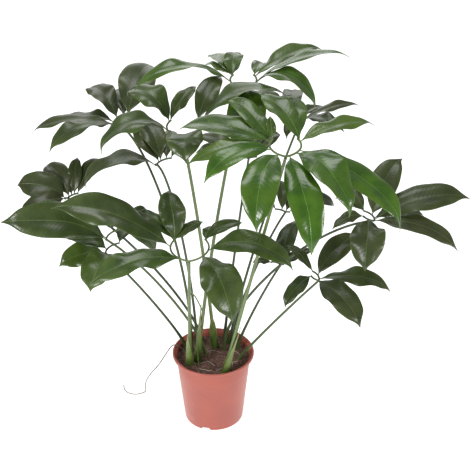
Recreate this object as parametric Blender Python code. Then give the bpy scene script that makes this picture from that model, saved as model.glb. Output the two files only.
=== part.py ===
# Potted philodendron: a nursery pot, its soil, fifteen compound fronds and one aerial root.
# Metres, +Z up. The origin is the middle of the pot's flat underside, and -Y faces the light.

import math

import bpy
from mathutils import Vector
from mathutils.bvhtree import BVHTree

# Pot
potHeight = 0.200
rimRadius = 0.105
lipHeight = 0.008
lipWidth = 0.005
lipEdge = 0.001
bodyTopRadius = 0.096
baseRadius = 0.0765
baseRounding = 0.003
potWall = 0.002
potFloor = 0.003
potSides = 48
drainCount = 3
drainRadius = 0.0125
drainHeight = 0.011
drainHeading = -105.0
drainSides = 16
drainInward = 0.010
drainOutward = 0.012

# Soil
soilHeight = 0.182
soilRelief = 0.0022
soilFineShare = 0.6
soilRings = 5
seatGap = 0.0004
holeGap = 0.0005
holeRootPoints = 5

# Stalks
stalkDepth = 0.060
stoutStalk = (0.0050, 0.0034)
slimStalk = (0.0038, 0.0028)
sheathFlare = 1.25
sheathRise = 0.006
stalkSides = 6
stalkRings = 11
stalkRise = 0.030
stalkHandle = 0.9
lowerLean = 0.33
lowerLeanBend = -0.28
lowerClimb = 0.33
lowerClimbBend = 0.14
upperLean = 0.67
upperLeanBend = -0.10
upperClimb = 0.67
upperClimbBend = 0.28
archRadius = 0.033
archLift = 0.016
archTube = 0.0023
archLimit = 125.0
archMargin = 4.0
archStep = 36.0

# Leaflets
leafThickness = 0.0009
leafStem = 0.05
leafStemWidth = 0.0016
leafTipWidth = 0.0009
leafAspect = 0.155
leafFold = 0.10
leafRows = (0.0, 0.07, 0.22, 0.42, 0.64, 0.85, 1.0)
leafOuter = 0.25
leafRootPower = 0.85
leafTipPower = 0.95
lightHeading = -90.0
rollLimit = 60.0
leafClearance = 0.0014
nudgeRise = 4
nudgeHeading = 3
nudgeSizes = 6

# Aerial root
rootRadius = 0.0014
rootSides = 6
rootStep = 0.011
curveSamples = 24


def leaf(heading, rise, droop, length, broad=1.0, sweep=0.0, face=1.0, stand=None):
    """One leaflet.

    Heading is where it points, rise its slope at the root and droop how far it bends down to its tip.
    Broad widens it, sweep carries its tip sideways, and face is how fully it is rolled to the light.
    Stand is where on the arch it is rooted, if not at the place that its heading gives.
    """
    return {
        "heading": heading,
        "rise": rise,
        "droop": droop,
        "length": length,
        "broad": broad,
        "sweep": sweep,
        "face": face,
        "stand": stand,
    }


# Each frond stands at its foot in the soil and carries its leaflets round the arch at its hub.
# Headings, rise, droop, stand and tilt are degrees, headings from +X towards +Y. The rest is metres.
fronds = {
    "frond_front_right": {
        "stout": True,
        "foot": (0.018, -0.050),
        "hub": (0.160, -0.250, 0.860),
        "facing": -90,
        "spread": 1.0,
        "bend": 0.0,
        "tilt": 18,
        "leaflets": [
            leaf(-116, 12, 85, 0.210, 1.2, sweep=0.026),
            leaf(-77, 0, 80, 0.245, 0.9),
            leaf(-54, 20, 80, 0.215, 1.15),
            leaf(-31, 2, 55, 0.285, 0.8),
            leaf(20, 28, 45, 0.180, 0.9),
            leaf(101, 52, 60, 0.145, 1.4, stand=125),
            leaf(122, 45, 55, 0.170, stand=110),
            leaf(95, 60, 30, 0.055, 1.2, stand=-125),
            leaf(133, 42, 45, 0.155),
            leaf(160, 23, 45, 0.215, 1.15),
            leaf(-175, 13, 40, 0.185, 0.8),
            leaf(-150, 27, 80, 0.180, 1.1),
        ],
    },
    "frond_front_centre": {
        "stout": True,
        "foot": (-0.062, -0.004),
        "hub": (-0.045, -0.220, 0.595),
        "facing": -90,
        "spread": 1.3,
        "bend": 0.0,
        "tilt": 20,
        "leaflets": [
            leaf(-62, 6, 80, 0.185, 1.5, stand=45),
            leaf(-18, 42, 90, 0.225),
            leaf(38, 35, 60, 0.115),
            leaf(80, 35, 50, 0.055, 1.4),
            leaf(30, 40, 40, 0.083, 1.2, stand=-125),
            leaf(100, 75, 60, 0.130, 1.5),
            leaf(148, 55, 60, 0.120),
            leaf(178, 45, 50, 0.290, 0.95),
            leaf(-160, 20, 50, 0.220, 1.0, stand=-25),
        ],
    },
    "frond_top_left": {
        "stout": True,
        "foot": (0.006, 0.050),
        "hub": (-0.060, -0.060, 0.820),
        "facing": -90,
        "spread": 1.15,
        "bend": 0.3,
        "tilt": 12,
        "leaflets": [
            leaf(-86, 50, 115, 0.130, 2.0),
            leaf(2, 58, 95, 0.250, 1.1, face=0.5),
            leaf(62, 62, 60, 0.145, 1.2),
            leaf(50, 56, 45, 0.115, stand=-125),
            leaf(150, 75, 110, 0.155, 1.4),
            leaf(-150, 52, 115, 0.210),
        ],
    },
    "frond_top_centre": {
        "stout": True,
        "foot": (-0.044, -0.016),
        "hub": (0.075, 0.000, 0.912),
        "facing": -90,
        "spread": 0.9,
        "bend": 0.35,
        "tilt": 4,
        "leaflets": [
            leaf(-112, 25, 85, 0.160, 1.2),
            leaf(-78, 20, 80, 0.140, 1.2),
            leaf(-38, 45, 125, 0.200, 0.95),
            leaf(-12, 36, 45, 0.228, 0.7),
            leaf(28, 33, 40, 0.190),
            leaf(75, 22, 60, 0.120),
            leaf(88, 45, 60, 0.100, 1.5, stand=-125),
            leaf(115, 30, 60, 0.150, 0.8),
            leaf(132, 20, 40, 0.105, 0.9),
            leaf(-165, 45, 90, 0.250, 0.7),
        ],
    },
    "frond_far_left_top": {
        "stout": False,
        "foot": (-0.058, 0.020),
        "hub": (-0.238, 0.120, 0.780),
        "facing": 170,
        "spread": 0.8,
        "bend": 1.3,
        "tilt": 5,
        "leaflets": [
            leaf(-148, 25, 70, 0.185),
            leaf(178, 14, 40, 0.210, 0.9),
            leaf(155, 12, 40, 0.175),
            leaf(128, 60, 95, 0.165, 1.2),
            leaf(95, 35, 60, 0.150),
            leaf(72, 60, 70, 0.195, 1.5),
        ],
    },
    "frond_left_dark": {
        "stout": False,
        "foot": (-0.042, 0.028),
        "hub": (-0.130, 0.050, 0.705),
        "facing": 150,
        "spread": 0.7,
        "bend": 1.0,
        "tilt": 5,
        "leaflets": [
            leaf(-152, 45, 98, 0.215),
            leaf(142, 40, 60, 0.160, 1.2),
            leaf(118, 60, 70, 0.160, 1.2),
            leaf(85, 45, 60, 0.120),
            leaf(55, 40, 60, 0.110),
        ],
    },
    "frond_left_upper": {
        "stout": False,
        "foot": (-0.012, 0.066),
        "hub": (-0.355, 0.080, 0.600),
        "facing": 140,
        "spread": 0.6,
        "bend": 0.6,
        "tilt": 35,
        "leaflets": [
            leaf(-150, 20, 60, 0.125, 1.5),
            leaf(170, 42, 60, 0.135, 1.8),
            leaf(128, 66, 95, 0.140, 1.3),
            leaf(108, 65, 70, 0.095),
            leaf(88, 60, 60, 0.108),
            leaf(62, 60, 60, 0.130),
        ],
    },
    "frond_left_mid": {
        "stout": False,
        "foot": (-0.002, 0.012),
        "hub": (-0.250, -0.040, 0.550),
        "facing": 180,
        "spread": 0.8,
        "bend": 0.5,
        "tilt": 42,
        "leaflets": [
            leaf(-172, 40, 50, 0.260, 1.1),
            leaf(168, 33, 50, 0.225),
            leaf(120, 25, 60, 0.140),
            leaf(60, 30, 50, 0.110),
            leaf(25, -18, 60, 0.120),
        ],
    },
    "frond_left_low": {
        "stout": False,
        "foot": (-0.046, 0.046),
        "hub": (-0.260, 0.000, 0.490),
        "facing": 180,
        "spread": 0.8,
        "bend": 0.25,
        "tilt": 30,
        "leaflets": [
            leaf(-112, 22, 85, 0.130, 2.1),
            leaf(-158, 26, 60, 0.125, 1.6),
            leaf(180, 10, 60, 0.105),
            leaf(155, 30, 60, 0.135, 1.2),
            leaf(90, 10, 60, 0.130),
        ],
    },
    "frond_right": {
        "stout": False,
        "foot": (0.022, 0.024),
        "hub": (0.387, -0.020, 0.590),
        "facing": -10,
        "spread": 0.5,
        "bend": 1.0,
        "tilt": 28,
        "leaflets": [
            leaf(-148, 30, 70, 0.100),
            leaf(-97, 5, 80, 0.148, 1.8),
            leaf(-26, 22, 60, 0.220, 0.9, face=0.3),
            leaf(0, 40, 50, 0.240, 1.05),
            leaf(16, 20, 50, 0.140),
            leaf(44, 75, 50, 0.165, 1.4),
            leaf(125, 45, 60, 0.130),
            leaf(142, 30, 50, 0.090, 0.8),
        ],
    },
    "frond_right_low": {
        "stout": False,
        "foot": (0.032, 0.004),
        "hub": (0.256, -0.080, 0.460),
        "facing": -20,
        "spread": 0.35,
        "bend": 0.1,
        "tilt": 25,
        "leaflets": [
            leaf(-138, 0, 60, 0.108, 1.2),
            leaf(-52, 10, 60, 0.170, 1.3),
            leaf(-2, 20, 60, 0.190, 0.9, face=0.4),
            leaf(40, 55, 55, 0.155, 1.2),
            leaf(137, 50, 50, 0.100, 0.8),
        ],
    },
    "frond_right_back_low": {
        "stout": False,
        "foot": (0.046, 0.034),
        "hub": (0.170, 0.020, 0.445),
        "facing": 60,
        "spread": 0.5,
        "bend": 0.3,
        "tilt": 15,
        "leaflets": [
            leaf(35, 30, 50, 0.105),
            leaf(68, 60, 50, 0.135, 1.2),
            leaf(125, 50, 50, 0.062),
            leaf(-170, 30, 50, 0.050, 1.4),
        ],
    },
    "frond_right_back_mid": {
        "stout": False,
        "foot": (0.036, 0.062),
        "hub": (0.184, 0.130, 0.535),
        "facing": 60,
        "spread": 0.6,
        "bend": 0.5,
        "tilt": 15,
        "leaflets": [
            leaf(22, 45, 100, 0.155, 1.2),
            leaf(60, 45, 60, 0.160),
            leaf(88, 60, 60, 0.100),
            leaf(145, 40, 60, 0.080),
        ],
    },
    "frond_back_right": {
        "stout": False,
        "foot": (0.028, 0.048),
        "hub": (0.220, 0.180, 0.770),
        "facing": 45,
        "spread": 0.8,
        "bend": 0.3,
        "tilt": 10,
        "leaflets": [
            leaf(-110, 30, 80, 0.100),
            leaf(-38, 30, 60, 0.125),
            leaf(20, 25, 40, 0.160, 0.7),
            leaf(50, 20, 50, 0.120),
            leaf(90, 30, 60, 0.170),
            leaf(135, 35, 60, 0.160),
        ],
    },
    "frond_back_centre": {
        "stout": False,
        "foot": (0.022, 0.072),
        "hub": (0.090, 0.150, 0.675),
        "facing": 100,
        "spread": 0.8,
        "bend": 0.2,
        "tilt": 15,
        "leaflets": [
            leaf(58, 40, 60, 0.130),
            leaf(80, 50, 60, 0.160),
            leaf(110, 50, 60, 0.150),
            leaf(145, 40, 60, 0.150),
            leaf(-155, 50, 60, 0.135),
        ],
    },
}

# The aerial root leaves the soil, lies over the rim and ends curled on the ground.
aerialRootRoute = [
    (-0.058, 0.008, 0.160),
    (-0.072, 0.012, 0.186),
    (-0.086, 0.016, 0.200),
    (-0.097, 0.019, 0.2030),
    (-0.108, 0.023, 0.1985),
    (-0.125, 0.030, 0.168),
    (-0.146, 0.040, 0.126),
    (-0.170, 0.064, 0.080),
    (-0.184, 0.080, 0.046),
    (-0.190, 0.090, 0.020),
    (-0.190, 0.086, 0.0034),
    (-0.202, 0.078, 0.0018),
    (-0.218, 0.074, 0.0018),
    (-0.236, 0.080, 0.0018),
    (-0.248, 0.094, 0.0018),
    (-0.253, 0.116, 0.0018),
]


def clearScene():
    for item in list(bpy.data.objects):
        bpy.data.objects.remove(item, do_unlink=True)


def material(name, colour, roughness, metallic=0.0):
    paint = bpy.data.materials.new(name)
    paint.use_nodes = True
    shader = paint.node_tree.nodes["Principled BSDF"]
    shader.inputs["Base Color"].default_value = (*colour, 1.0)
    shader.inputs["Roughness"].default_value = roughness
    shader.inputs["Metallic"].default_value = metallic
    paint.diffuse_color = (*colour, 1.0)
    return paint


def meshObject(name, vertices, faces, paint=None):
    mesh = bpy.data.meshes.new(name)
    mesh.from_pydata([tuple(v) for v in vertices], [], faces)
    mesh.validate()
    mesh.update()
    item = bpy.data.objects.new(name, mesh)
    bpy.context.scene.collection.objects.link(item)
    if paint is not None:
        mesh.materials.append(paint)
    return item


def shadeSmooth(item, angle):
    item.data.shade_smooth()
    item.data.set_sharp_from_angle(angle=math.radians(angle))


def applyBoolean(item, operation, cutter=None, group=None):
    """Runs one exact Boolean on the object and keeps its result as the object's mesh."""
    step = item.modifiers.new("join", "BOOLEAN")
    step.operation = operation
    step.solver = "EXACT"
    if group is not None:
        step.operand_type = "COLLECTION"
        step.collection = group
    else:
        step.object = cutter
    evaluated = item.evaluated_get(bpy.context.evaluated_depsgraph_get())
    result = bpy.data.meshes.new_from_object(evaluated)
    item.modifiers.clear()
    item.data = result


def newGroup(name, members):
    group = bpy.data.collections.new(name)
    bpy.context.scene.collection.children.link(group)
    for member in members:
        bpy.context.scene.collection.objects.unlink(member)
        group.objects.link(member)
    return group


def removeGroup(group):
    for member in list(group.objects):
        bpy.data.objects.remove(member, do_unlink=True)
    bpy.data.collections.remove(group)


def towards(heading):
    angle = math.radians(heading)
    return Vector((math.cos(angle), math.sin(angle), 0.0))


def turnedShape(profile, sides):
    """Vertices and faces of a closed profile turned round Z, its first and last points on the axis."""
    vertices = [Vector((0.0, 0.0, profile[0][1]))]
    for radius, height in profile[1:-1]:
        for side in range(sides):
            angle = 2 * math.pi * side / sides
            vertices.append(Vector((radius * math.cos(angle), radius * math.sin(angle), height)))
    vertices.append(Vector((0.0, 0.0, profile[-1][1])))
    last = len(vertices) - 1
    rings = len(profile) - 2
    faces = []
    for side in range(sides):
        after = (side + 1) % sides
        faces.append((0, 1 + after, 1 + side))
        for ring in range(rings - 1):
            low = 1 + ring * sides
            high = low + sides
            faces.append((low + side, low + after, high + after, high + side))
        top = 1 + (rings - 1) * sides
        faces.append((last, top + side, top + after))
    return vertices, faces


def tubeShape(points, radii, sides):
    """Vertices and faces of a closed tube along points, its frame carried along without twist."""
    points = [Vector(p) for p in points]
    vertices = []
    previous = None
    for index, point in enumerate(points):
        before = points[max(index - 1, 0)]
        after = points[min(index + 1, len(points) - 1)]
        along = (after - before).normalized()
        if previous is None:
            previous = along.orthogonal()
        across = (previous - along * previous.dot(along)).normalized()
        beside = along.cross(across)
        previous = across
        for side in range(sides):
            angle = 2 * math.pi * side / sides
            offset = across * math.cos(angle) + beside * math.sin(angle)
            vertices.append(point + offset * radii[index])
    faces = []
    for ring in range(len(points) - 1):
        low = ring * sides
        high = low + sides
        for side in range(sides):
            after = (side + 1) % sides
            faces.append((low + side, low + after, high + after, high + side))
    faces.append(tuple(reversed(range(sides))))
    top = (len(points) - 1) * sides
    faces.append(tuple(range(top, top + sides)))
    return vertices, faces


def smoothRoute(points, step):
    """Evenly spaced points on a smooth curve through the given ones."""
    points = [Vector(p) for p in points]
    ends = [points[0] * 2 - points[1]] + points + [points[-1] * 2 - points[-2]]
    dense = []
    for index in range(1, len(ends) - 2):
        a, b, c, d = ends[index - 1:index + 3]
        for sample in range(curveSamples):
            t = sample / curveSamples
            dense.append(0.5 * (b * 2 + (c - a) * t + (a * 2 - b * 5 + c * 4 - d) * t * t
                                + (b * 3 - a - c * 3 + d) * t ** 3))
    dense.append(points[-1])
    route = [dense[0]]
    travelled = 0.0
    for before, after in zip(dense, dense[1:]):
        travelled += (after - before).length
        if travelled >= step:
            route.append(after)
            travelled = 0.0
    if (route[-1] - dense[-1]).length > step / 2:
        route.append(dense[-1])
    return route


def innerRadius(height):
    """Radius of the pot's inner wall at a height."""
    low = baseRadius - potWall
    high = bodyTopRadius - potWall
    share = (height - potFloor) / (potHeight - lipHeight - potFloor)
    return low + (high - low) * share


def makePot():
    lipBottom = potHeight - lipHeight
    profile = [
        (0.0, 0.0),
        (baseRadius - baseRounding, 0.0),
        (baseRadius, baseRounding),
        (bodyTopRadius, lipBottom),
        (rimRadius - lipEdge, lipBottom),
        (rimRadius, lipBottom + lipEdge),
        (rimRadius, potHeight - lipEdge),
        (rimRadius - lipEdge, potHeight),
        (rimRadius - lipWidth + lipEdge, potHeight),
        (rimRadius - lipWidth, potHeight - lipEdge),
        (innerRadius(lipBottom), lipBottom),
        (innerRadius(potFloor), potFloor),
        (0.0, potFloor),
    ]
    paint = material("terracotta_plastic", (0.50, 0.16, 0.115), 0.42)
    pot = meshObject("pot", *turnedShape(profile, potSides), paint)
    for index in range(drainCount):
        out = towards(drainHeading + 360 / drainCount * index)
        drop = Vector((0.0, 0.0, drainHeight - drainRadius))
        ends = [out * (baseRadius - drainInward) + drop, out * (baseRadius + drainOutward) + drop]
        cutter = meshObject("drain_cutter", *tubeShape(ends, [drainRadius] * 2, drainSides))
        applyBoolean(pot, "DIFFERENCE", cutter)
        bpy.data.objects.remove(cutter, do_unlink=True)
    shadeSmooth(pot, 35)
    return pot


def soilTop(x, y):
    """Height of the soil's uneven surface."""
    broad = math.sin(38 * x + 1.3) * math.cos(33 * y - 0.6)
    fine = math.sin(91 * x - 0.4) * math.sin(83 * y + 1.1)
    return soilHeight + soilRelief * (broad + soilFineShare * fine)


def makeSoil(stalks, rootRoute):
    bottom = potFloor + seatGap
    edge = innerRadius(soilHeight) - seatGap
    profile = [(0.0, bottom), (innerRadius(bottom) - seatGap, bottom)]
    for ring in range(soilRings):
        profile.append((edge * (soilRings - ring) / soilRings, soilHeight))
    profile.append((0.0, soilHeight))
    vertices, faces = turnedShape(profile, potSides)
    for vertex in vertices:
        onTop = vertex.z > soilHeight / 2
        if onTop and math.hypot(vertex.x, vertex.y) < edge - seatGap:
            vertex.z = soilTop(vertex.x, vertex.y)
    soil = meshObject("soil", vertices, faces, material("potting_soil", (0.085, 0.045, 0.040), 0.95))
    cutters = []
    for route, radii in stalks:
        ahead = (route[2] - route[0]).normalized()
        ends = [route[0] - ahead * holeGap, route[2]]
        shape = tubeShape(ends, [radii[0] + holeGap] * 2, stalkSides)
        cutters.append(meshObject("hole_cutter", *shape))
    buried = rootRoute[:holeRootPoints]
    buried[0] = buried[0] * 2 - buried[1]
    radii = [rootRadius + holeGap] * len(buried)
    cutters.append(meshObject("hole_cutter", *tubeShape(buried, radii, rootSides)))
    group = newGroup("holes", cutters)
    applyBoolean(soil, "DIFFERENCE", group=group)
    removeGroup(group)
    shadeSmooth(soil, 40)
    return soil


def stalkRoute(frond):
    """Points of a frond's stalk, straight through the soil and then curving over to its hub."""
    foot = Vector((*frond["foot"], soilHeight - stalkDepth))
    hub = Vector(frond["hub"])
    span = hub - foot
    lean = Vector((span.x, span.y, 0.0))
    bend = frond["bend"]
    climb = Vector((0.0, 0.0, span.z))
    first = foot + lean * (lowerLean + lowerLeanBend * bend)
    first += climb * (lowerClimb + lowerClimbBend * bend)
    second = foot + lean * (upperLean + upperLeanBend * bend)
    second += climb * (upperClimb + upperClimbBend * bend)
    ahead = (first - foot).normalized()
    start = foot + ahead * (stalkDepth + stalkRise)
    handle = start + ahead * (first - start).length * stalkHandle
    route = [foot, foot + ahead * (stalkDepth + sheathRise), start]
    for index in range(1, stalkRings):
        t = index / (stalkRings - 1)
        u = 1 - t
        route.append(start * u ** 3 + handle * 3 * u * u * t + second * 3 * u * t * t + hub * t ** 3)
    return route


def stalkRadii(frond, route):
    """Radii along a stalk: a wider sheath in the soil, then a slow taper to the hub."""
    low, high = stoutStalk if frond["stout"] else slimStalk
    taper = (high - low) / (len(route) - 1)
    radii = [low + taper * index for index in range(len(route))]
    return [low * sheathFlare] * 2 + radii[2:]


def wrapped(angle):
    return (angle + 180) % 360 - 180


def archPoint(frond, turn):
    """A point on the U-shaped arch at a frond's hub, that many degrees round from its front."""
    ahead = towards(frond["facing"])
    beside = towards(frond["facing"] + 90)
    angle = math.radians(turn)
    lift = Vector((0, 0, archLift * abs(turn) / archLimit))
    radius = archRadius * frond["spread"]
    around = beside * math.sin(angle) - ahead * (1 - math.cos(angle))
    return Vector(frond["hub"]) + around * radius + lift


def leafTurn(frond, blade):
    """Where on the arch a leaflet is rooted, in degrees from the arch's front."""
    if blade["stand"] is not None:
        return blade["stand"]
    turn = wrapped(blade["heading"] - frond["facing"])
    return max(-archLimit, min(archLimit, turn))


def leafRoot(frond, blade):
    return archPoint(frond, leafTurn(frond, blade))


def archShape(frond):
    turns = [leafTurn(frond, blade) for blade in frond["leaflets"]]
    low = min(min(turns), 0) - archMargin
    high = max(max(turns), 0) + archMargin
    count = max(2, math.ceil((high - low) / archStep))
    points = [archPoint(frond, low + (high - low) * index / count) for index in range(count + 1)]
    return tubeShape(points, [archTube] * len(points), stalkSides)


def leafOutline(along):
    """Half the width of a leaflet at a share of its length, where 1 is the widest."""
    share = max(0.0, (along - leafStem) / (1 - leafStem))
    widest = leafRootPower / (leafRootPower + leafTipPower)
    fullest = widest ** leafRootPower * (1 - widest) ** leafTipPower
    return share ** leafRootPower * (1 - share) ** leafTipPower / fullest


def leafFrame(root, blade, tilt, along):
    """Middle of the blade, the way across it and its upward normal, at a share of its length."""
    rise = math.radians(blade["rise"])
    droop = math.radians(blade["droop"])
    length = blade["length"]
    ahead = towards(blade["heading"])
    beside = towards(blade["heading"] + 90)
    pitch = rise - droop * along
    reach = length * (math.sin(rise) - math.sin(pitch)) / droop
    height = length * (math.cos(pitch) - math.cos(rise)) / droop
    middle = root + ahead * reach + beside * blade["sweep"] * along ** 2 + Vector((0, 0, height))
    upright = Vector((0, 0, math.cos(pitch))) - ahead * math.sin(pitch)
    roll = leafRoll(blade, tilt)
    across = beside * math.cos(roll) + upright * math.sin(roll)
    normal = upright * math.cos(roll) - beside * math.sin(roll)
    return middle, across, normal


def leafRoll(blade, tilt):
    """How far the blade is rolled about its midrib towards the light, in radians."""
    light = towards(lightHeading) * math.sin(math.radians(tilt))
    light.z = math.cos(math.radians(tilt))
    beside = towards(blade["heading"] + 90)
    pitch = math.radians(blade["rise"] - blade["droop"] / 2)
    upright = Vector((0, 0, math.cos(pitch))) - towards(blade["heading"]) * math.sin(pitch)
    roll = math.degrees(math.atan2(-light.dot(beside), light.dot(upright)))
    return math.radians(max(-rollLimit, min(rollLimit, roll)) * blade["face"])


def leafShape(frond, blade, rows=leafRows, spare=0.0):
    """Vertices and triangles of one closed leaflet, both faces split alike. Spare swells it all round."""
    root = leafRoot(frond, blade)
    half = leafThickness / 2 + spare
    widest = leafAspect * blade["length"] * blade["broad"]
    upper = []
    lower = []
    for along in rows:
        middle, across, normal = leafFrame(root, blade, frond["tilt"], along)
        narrowest = leafStemWidth if along < 0.5 else leafTipWidth
        width = max(narrowest, widest * leafOutline(along)) + spare
        for side in (-1, 0, 1):
            point = middle + across * width * side + normal * leafFold * width * abs(side)
            upper.append(point + normal * half)
            lower.append(point - normal * half)
    count = len(upper)
    faces = []
    for row in range(len(rows) - 1):
        for column in range(2):
            a = row * 3 + column
            b, c, d = a + 1, a + 4, a + 3
            if column == 0:
                halves = ((a, c, b), (a, d, c))
            else:
                halves = ((a, d, b), (b, d, c))
            for p, q, r in halves:
                faces.append((p, q, r))
                faces.append((count + p, count + r, count + q))
        for a, b in ((row * 3 + 3, row * 3), (row * 3 + 2, row * 3 + 5)):
            faces.append((a, b, count + b))
            faces.append((a, count + b, count + a))
    end = (len(rows) - 1) * 3
    for a, b in ((0, 1), (1, 2), (end + 1, end), (end + 2, end + 1)):
        faces.append((a, b, count + b))
        faces.append((a, count + b, count + a))
    return upper + lower, faces


def touchTree(shape):
    return BVHTree.FromPolygons(shape[0], shape[1])


def outerRows():
    return [leafOuter] + [along for along in leafRows if along > leafOuter]


def settleLeaflets():
    """Tilts each leaflet a little where it would cross what is already in place."""
    nudges = [(0, 0)]
    for size in range(1, nudgeSizes + 1):
        for rise, heading in ((1, 0), (-1, 0), (0, 1), (0, -1), (1, 1), (-1, -1), (1, -1), (-1, 1)):
            nudges.append((nudgeRise * size * rise, nudgeHeading * size * heading))
    placed = {name: [] for name in fronds}
    for name, frond in fronds.items():
        route = stalkRoute(frond)
        placed[name].append(touchTree(tubeShape(route, stalkRadii(frond, route), stalkSides)))
        placed[name].append(touchTree(archShape(frond)))
    own = {name: [] for name in fronds}
    for name, frond in fronds.items():
        others = [tree for other, trees in placed.items() if other != name for tree in trees]
        for blade in frond["leaflets"]:
            wanted = (blade["rise"], blade["heading"])
            for rise, heading in nudges:
                blade["rise"] = wanted[0] + rise
                blade["heading"] = wanted[1] + heading
                whole = touchTree(leafShape(frond, blade, spare=leafClearance))
                outer = touchTree(leafShape(frond, blade, outerRows(), leafClearance))
                if any(whole.overlap(tree) for tree in others):
                    continue
                if any(outer.overlap(tree) for tree in own[name]):
                    continue
                break
            else:
                raise RuntimeError("a leaflet of %s has no free place" % name)
            placed[name].append(touchTree(leafShape(frond, blade)))
            own[name].append(touchTree(leafShape(frond, blade, outerRows())))


def makeFrond(name, frond, paint):
    """One frond: stalk, arch and leaflets joined in one body."""
    route = stalkRoute(frond)
    body = meshObject(name, *tubeShape(route, stalkRadii(frond, route), stalkSides), paint)
    members = [meshObject("arch", *archShape(frond))]
    for blade in frond["leaflets"]:
        members.append(meshObject("leaflet", *leafShape(frond, blade)))
    group = newGroup("growth", members)
    applyBoolean(body, "UNION", group=group)
    removeGroup(group)
    shadeSmooth(body, 50)
    return body


def makeAerialRoot(route):
    paint = material("aerial_root_bark", (0.22, 0.20, 0.17), 0.8)
    root = meshObject("aerial_root", *tubeShape(route, [rootRadius] * len(route), rootSides), paint)
    shadeSmooth(root, 70)
    return root


def build():
    clearScene()
    settleLeaflets()
    young = material("young_leaf", (0.060, 0.150, 0.020), 0.30)
    old = material("old_leaf", (0.030, 0.060, 0.022), 0.35)
    youngFronds = {"frond_front_right", "frond_top_centre"}
    makePot()
    stalks = []
    for name, frond in fronds.items():
        route = stalkRoute(frond)
        stalks.append((route, stalkRadii(frond, route)))
        makeFrond(name, frond, young if name in youngFronds else old)
    rootRoute = smoothRoute(aerialRootRoute, rootStep)
    makeSoil(stalks, rootRoute)
    makeAerialRoot(rootRoute)


build()
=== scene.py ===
# Potted philodendron: the looks of a compound-leaved philodendron in its nursery pot.
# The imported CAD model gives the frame. Fine pieces stand in for its nodes and keep their places.
# Metres, +Z up. The origin is the middle of the pot's underside, and -Y faces the camera.

import math
import random

import bmesh
import bpy
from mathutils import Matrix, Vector, noise
from mathutils.bvhtree import BVHTree


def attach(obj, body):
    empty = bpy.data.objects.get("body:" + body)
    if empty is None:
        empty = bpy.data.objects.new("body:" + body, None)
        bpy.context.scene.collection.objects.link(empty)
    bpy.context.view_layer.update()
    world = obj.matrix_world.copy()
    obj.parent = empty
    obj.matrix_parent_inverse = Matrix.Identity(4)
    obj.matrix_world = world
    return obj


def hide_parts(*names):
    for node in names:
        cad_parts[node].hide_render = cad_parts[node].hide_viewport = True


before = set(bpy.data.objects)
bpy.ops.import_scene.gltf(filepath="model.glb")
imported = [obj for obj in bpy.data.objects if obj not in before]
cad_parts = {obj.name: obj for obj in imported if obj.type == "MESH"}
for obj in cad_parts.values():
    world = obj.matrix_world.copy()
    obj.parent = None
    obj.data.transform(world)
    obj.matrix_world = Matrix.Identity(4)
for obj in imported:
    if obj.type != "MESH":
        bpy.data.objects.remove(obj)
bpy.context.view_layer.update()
print("frame loaded:", len(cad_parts), "nodes")


# a socket that takes part in sums as a number does, and adds its Math nodes
class Wire:
    def __init__(self, maker, socket):
        self.maker = maker
        self.socket = socket

    def sum(self, operation, *values):
        return self.maker.node("ShaderNodeMath", {"operation": operation}, dict(enumerate(values)))

    def __add__(self, other):
        return self.sum("ADD", self, other)

    def __radd__(self, other):
        return self.sum("ADD", other, self)

    def __sub__(self, other):
        return self.sum("SUBTRACT", self, other)

    def __rsub__(self, other):
        return self.sum("SUBTRACT", other, self)

    def __mul__(self, other):
        return self.sum("MULTIPLY", self, other)

    def __rmul__(self, other):
        return self.sum("MULTIPLY", other, self)

    def __truediv__(self, other):
        return self.sum("DIVIDE", self, other)

    def __rtruediv__(self, other):
        return self.sum("DIVIDE", other, self)

    def __pow__(self, other):
        return self.sum("POWER", self, other)

    def __abs__(self):
        return self.sum("ABSOLUTE", self)

    def sine(self):
        return self.sum("SINE", self)

    def fraction(self):
        return self.sum("FRACT", self)

    def least(self, other):
        return self.sum("MINIMUM", self, other)

    def most(self, other):
        return self.sum("MAXIMUM", self, other)

    # 0 below low, 1 above high, and smooth between them
    def ease(self, low, high):
        values = {0: self, 1: low, 2: high, 3: 0.0, 4: 1.0}
        return self.maker.node("ShaderNodeMapRange", {"interpolation_type": "SMOOTHSTEP"}, values)

    def out(self, name):
        return Wire(self.maker, self.socket.node.outputs[name])


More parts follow.
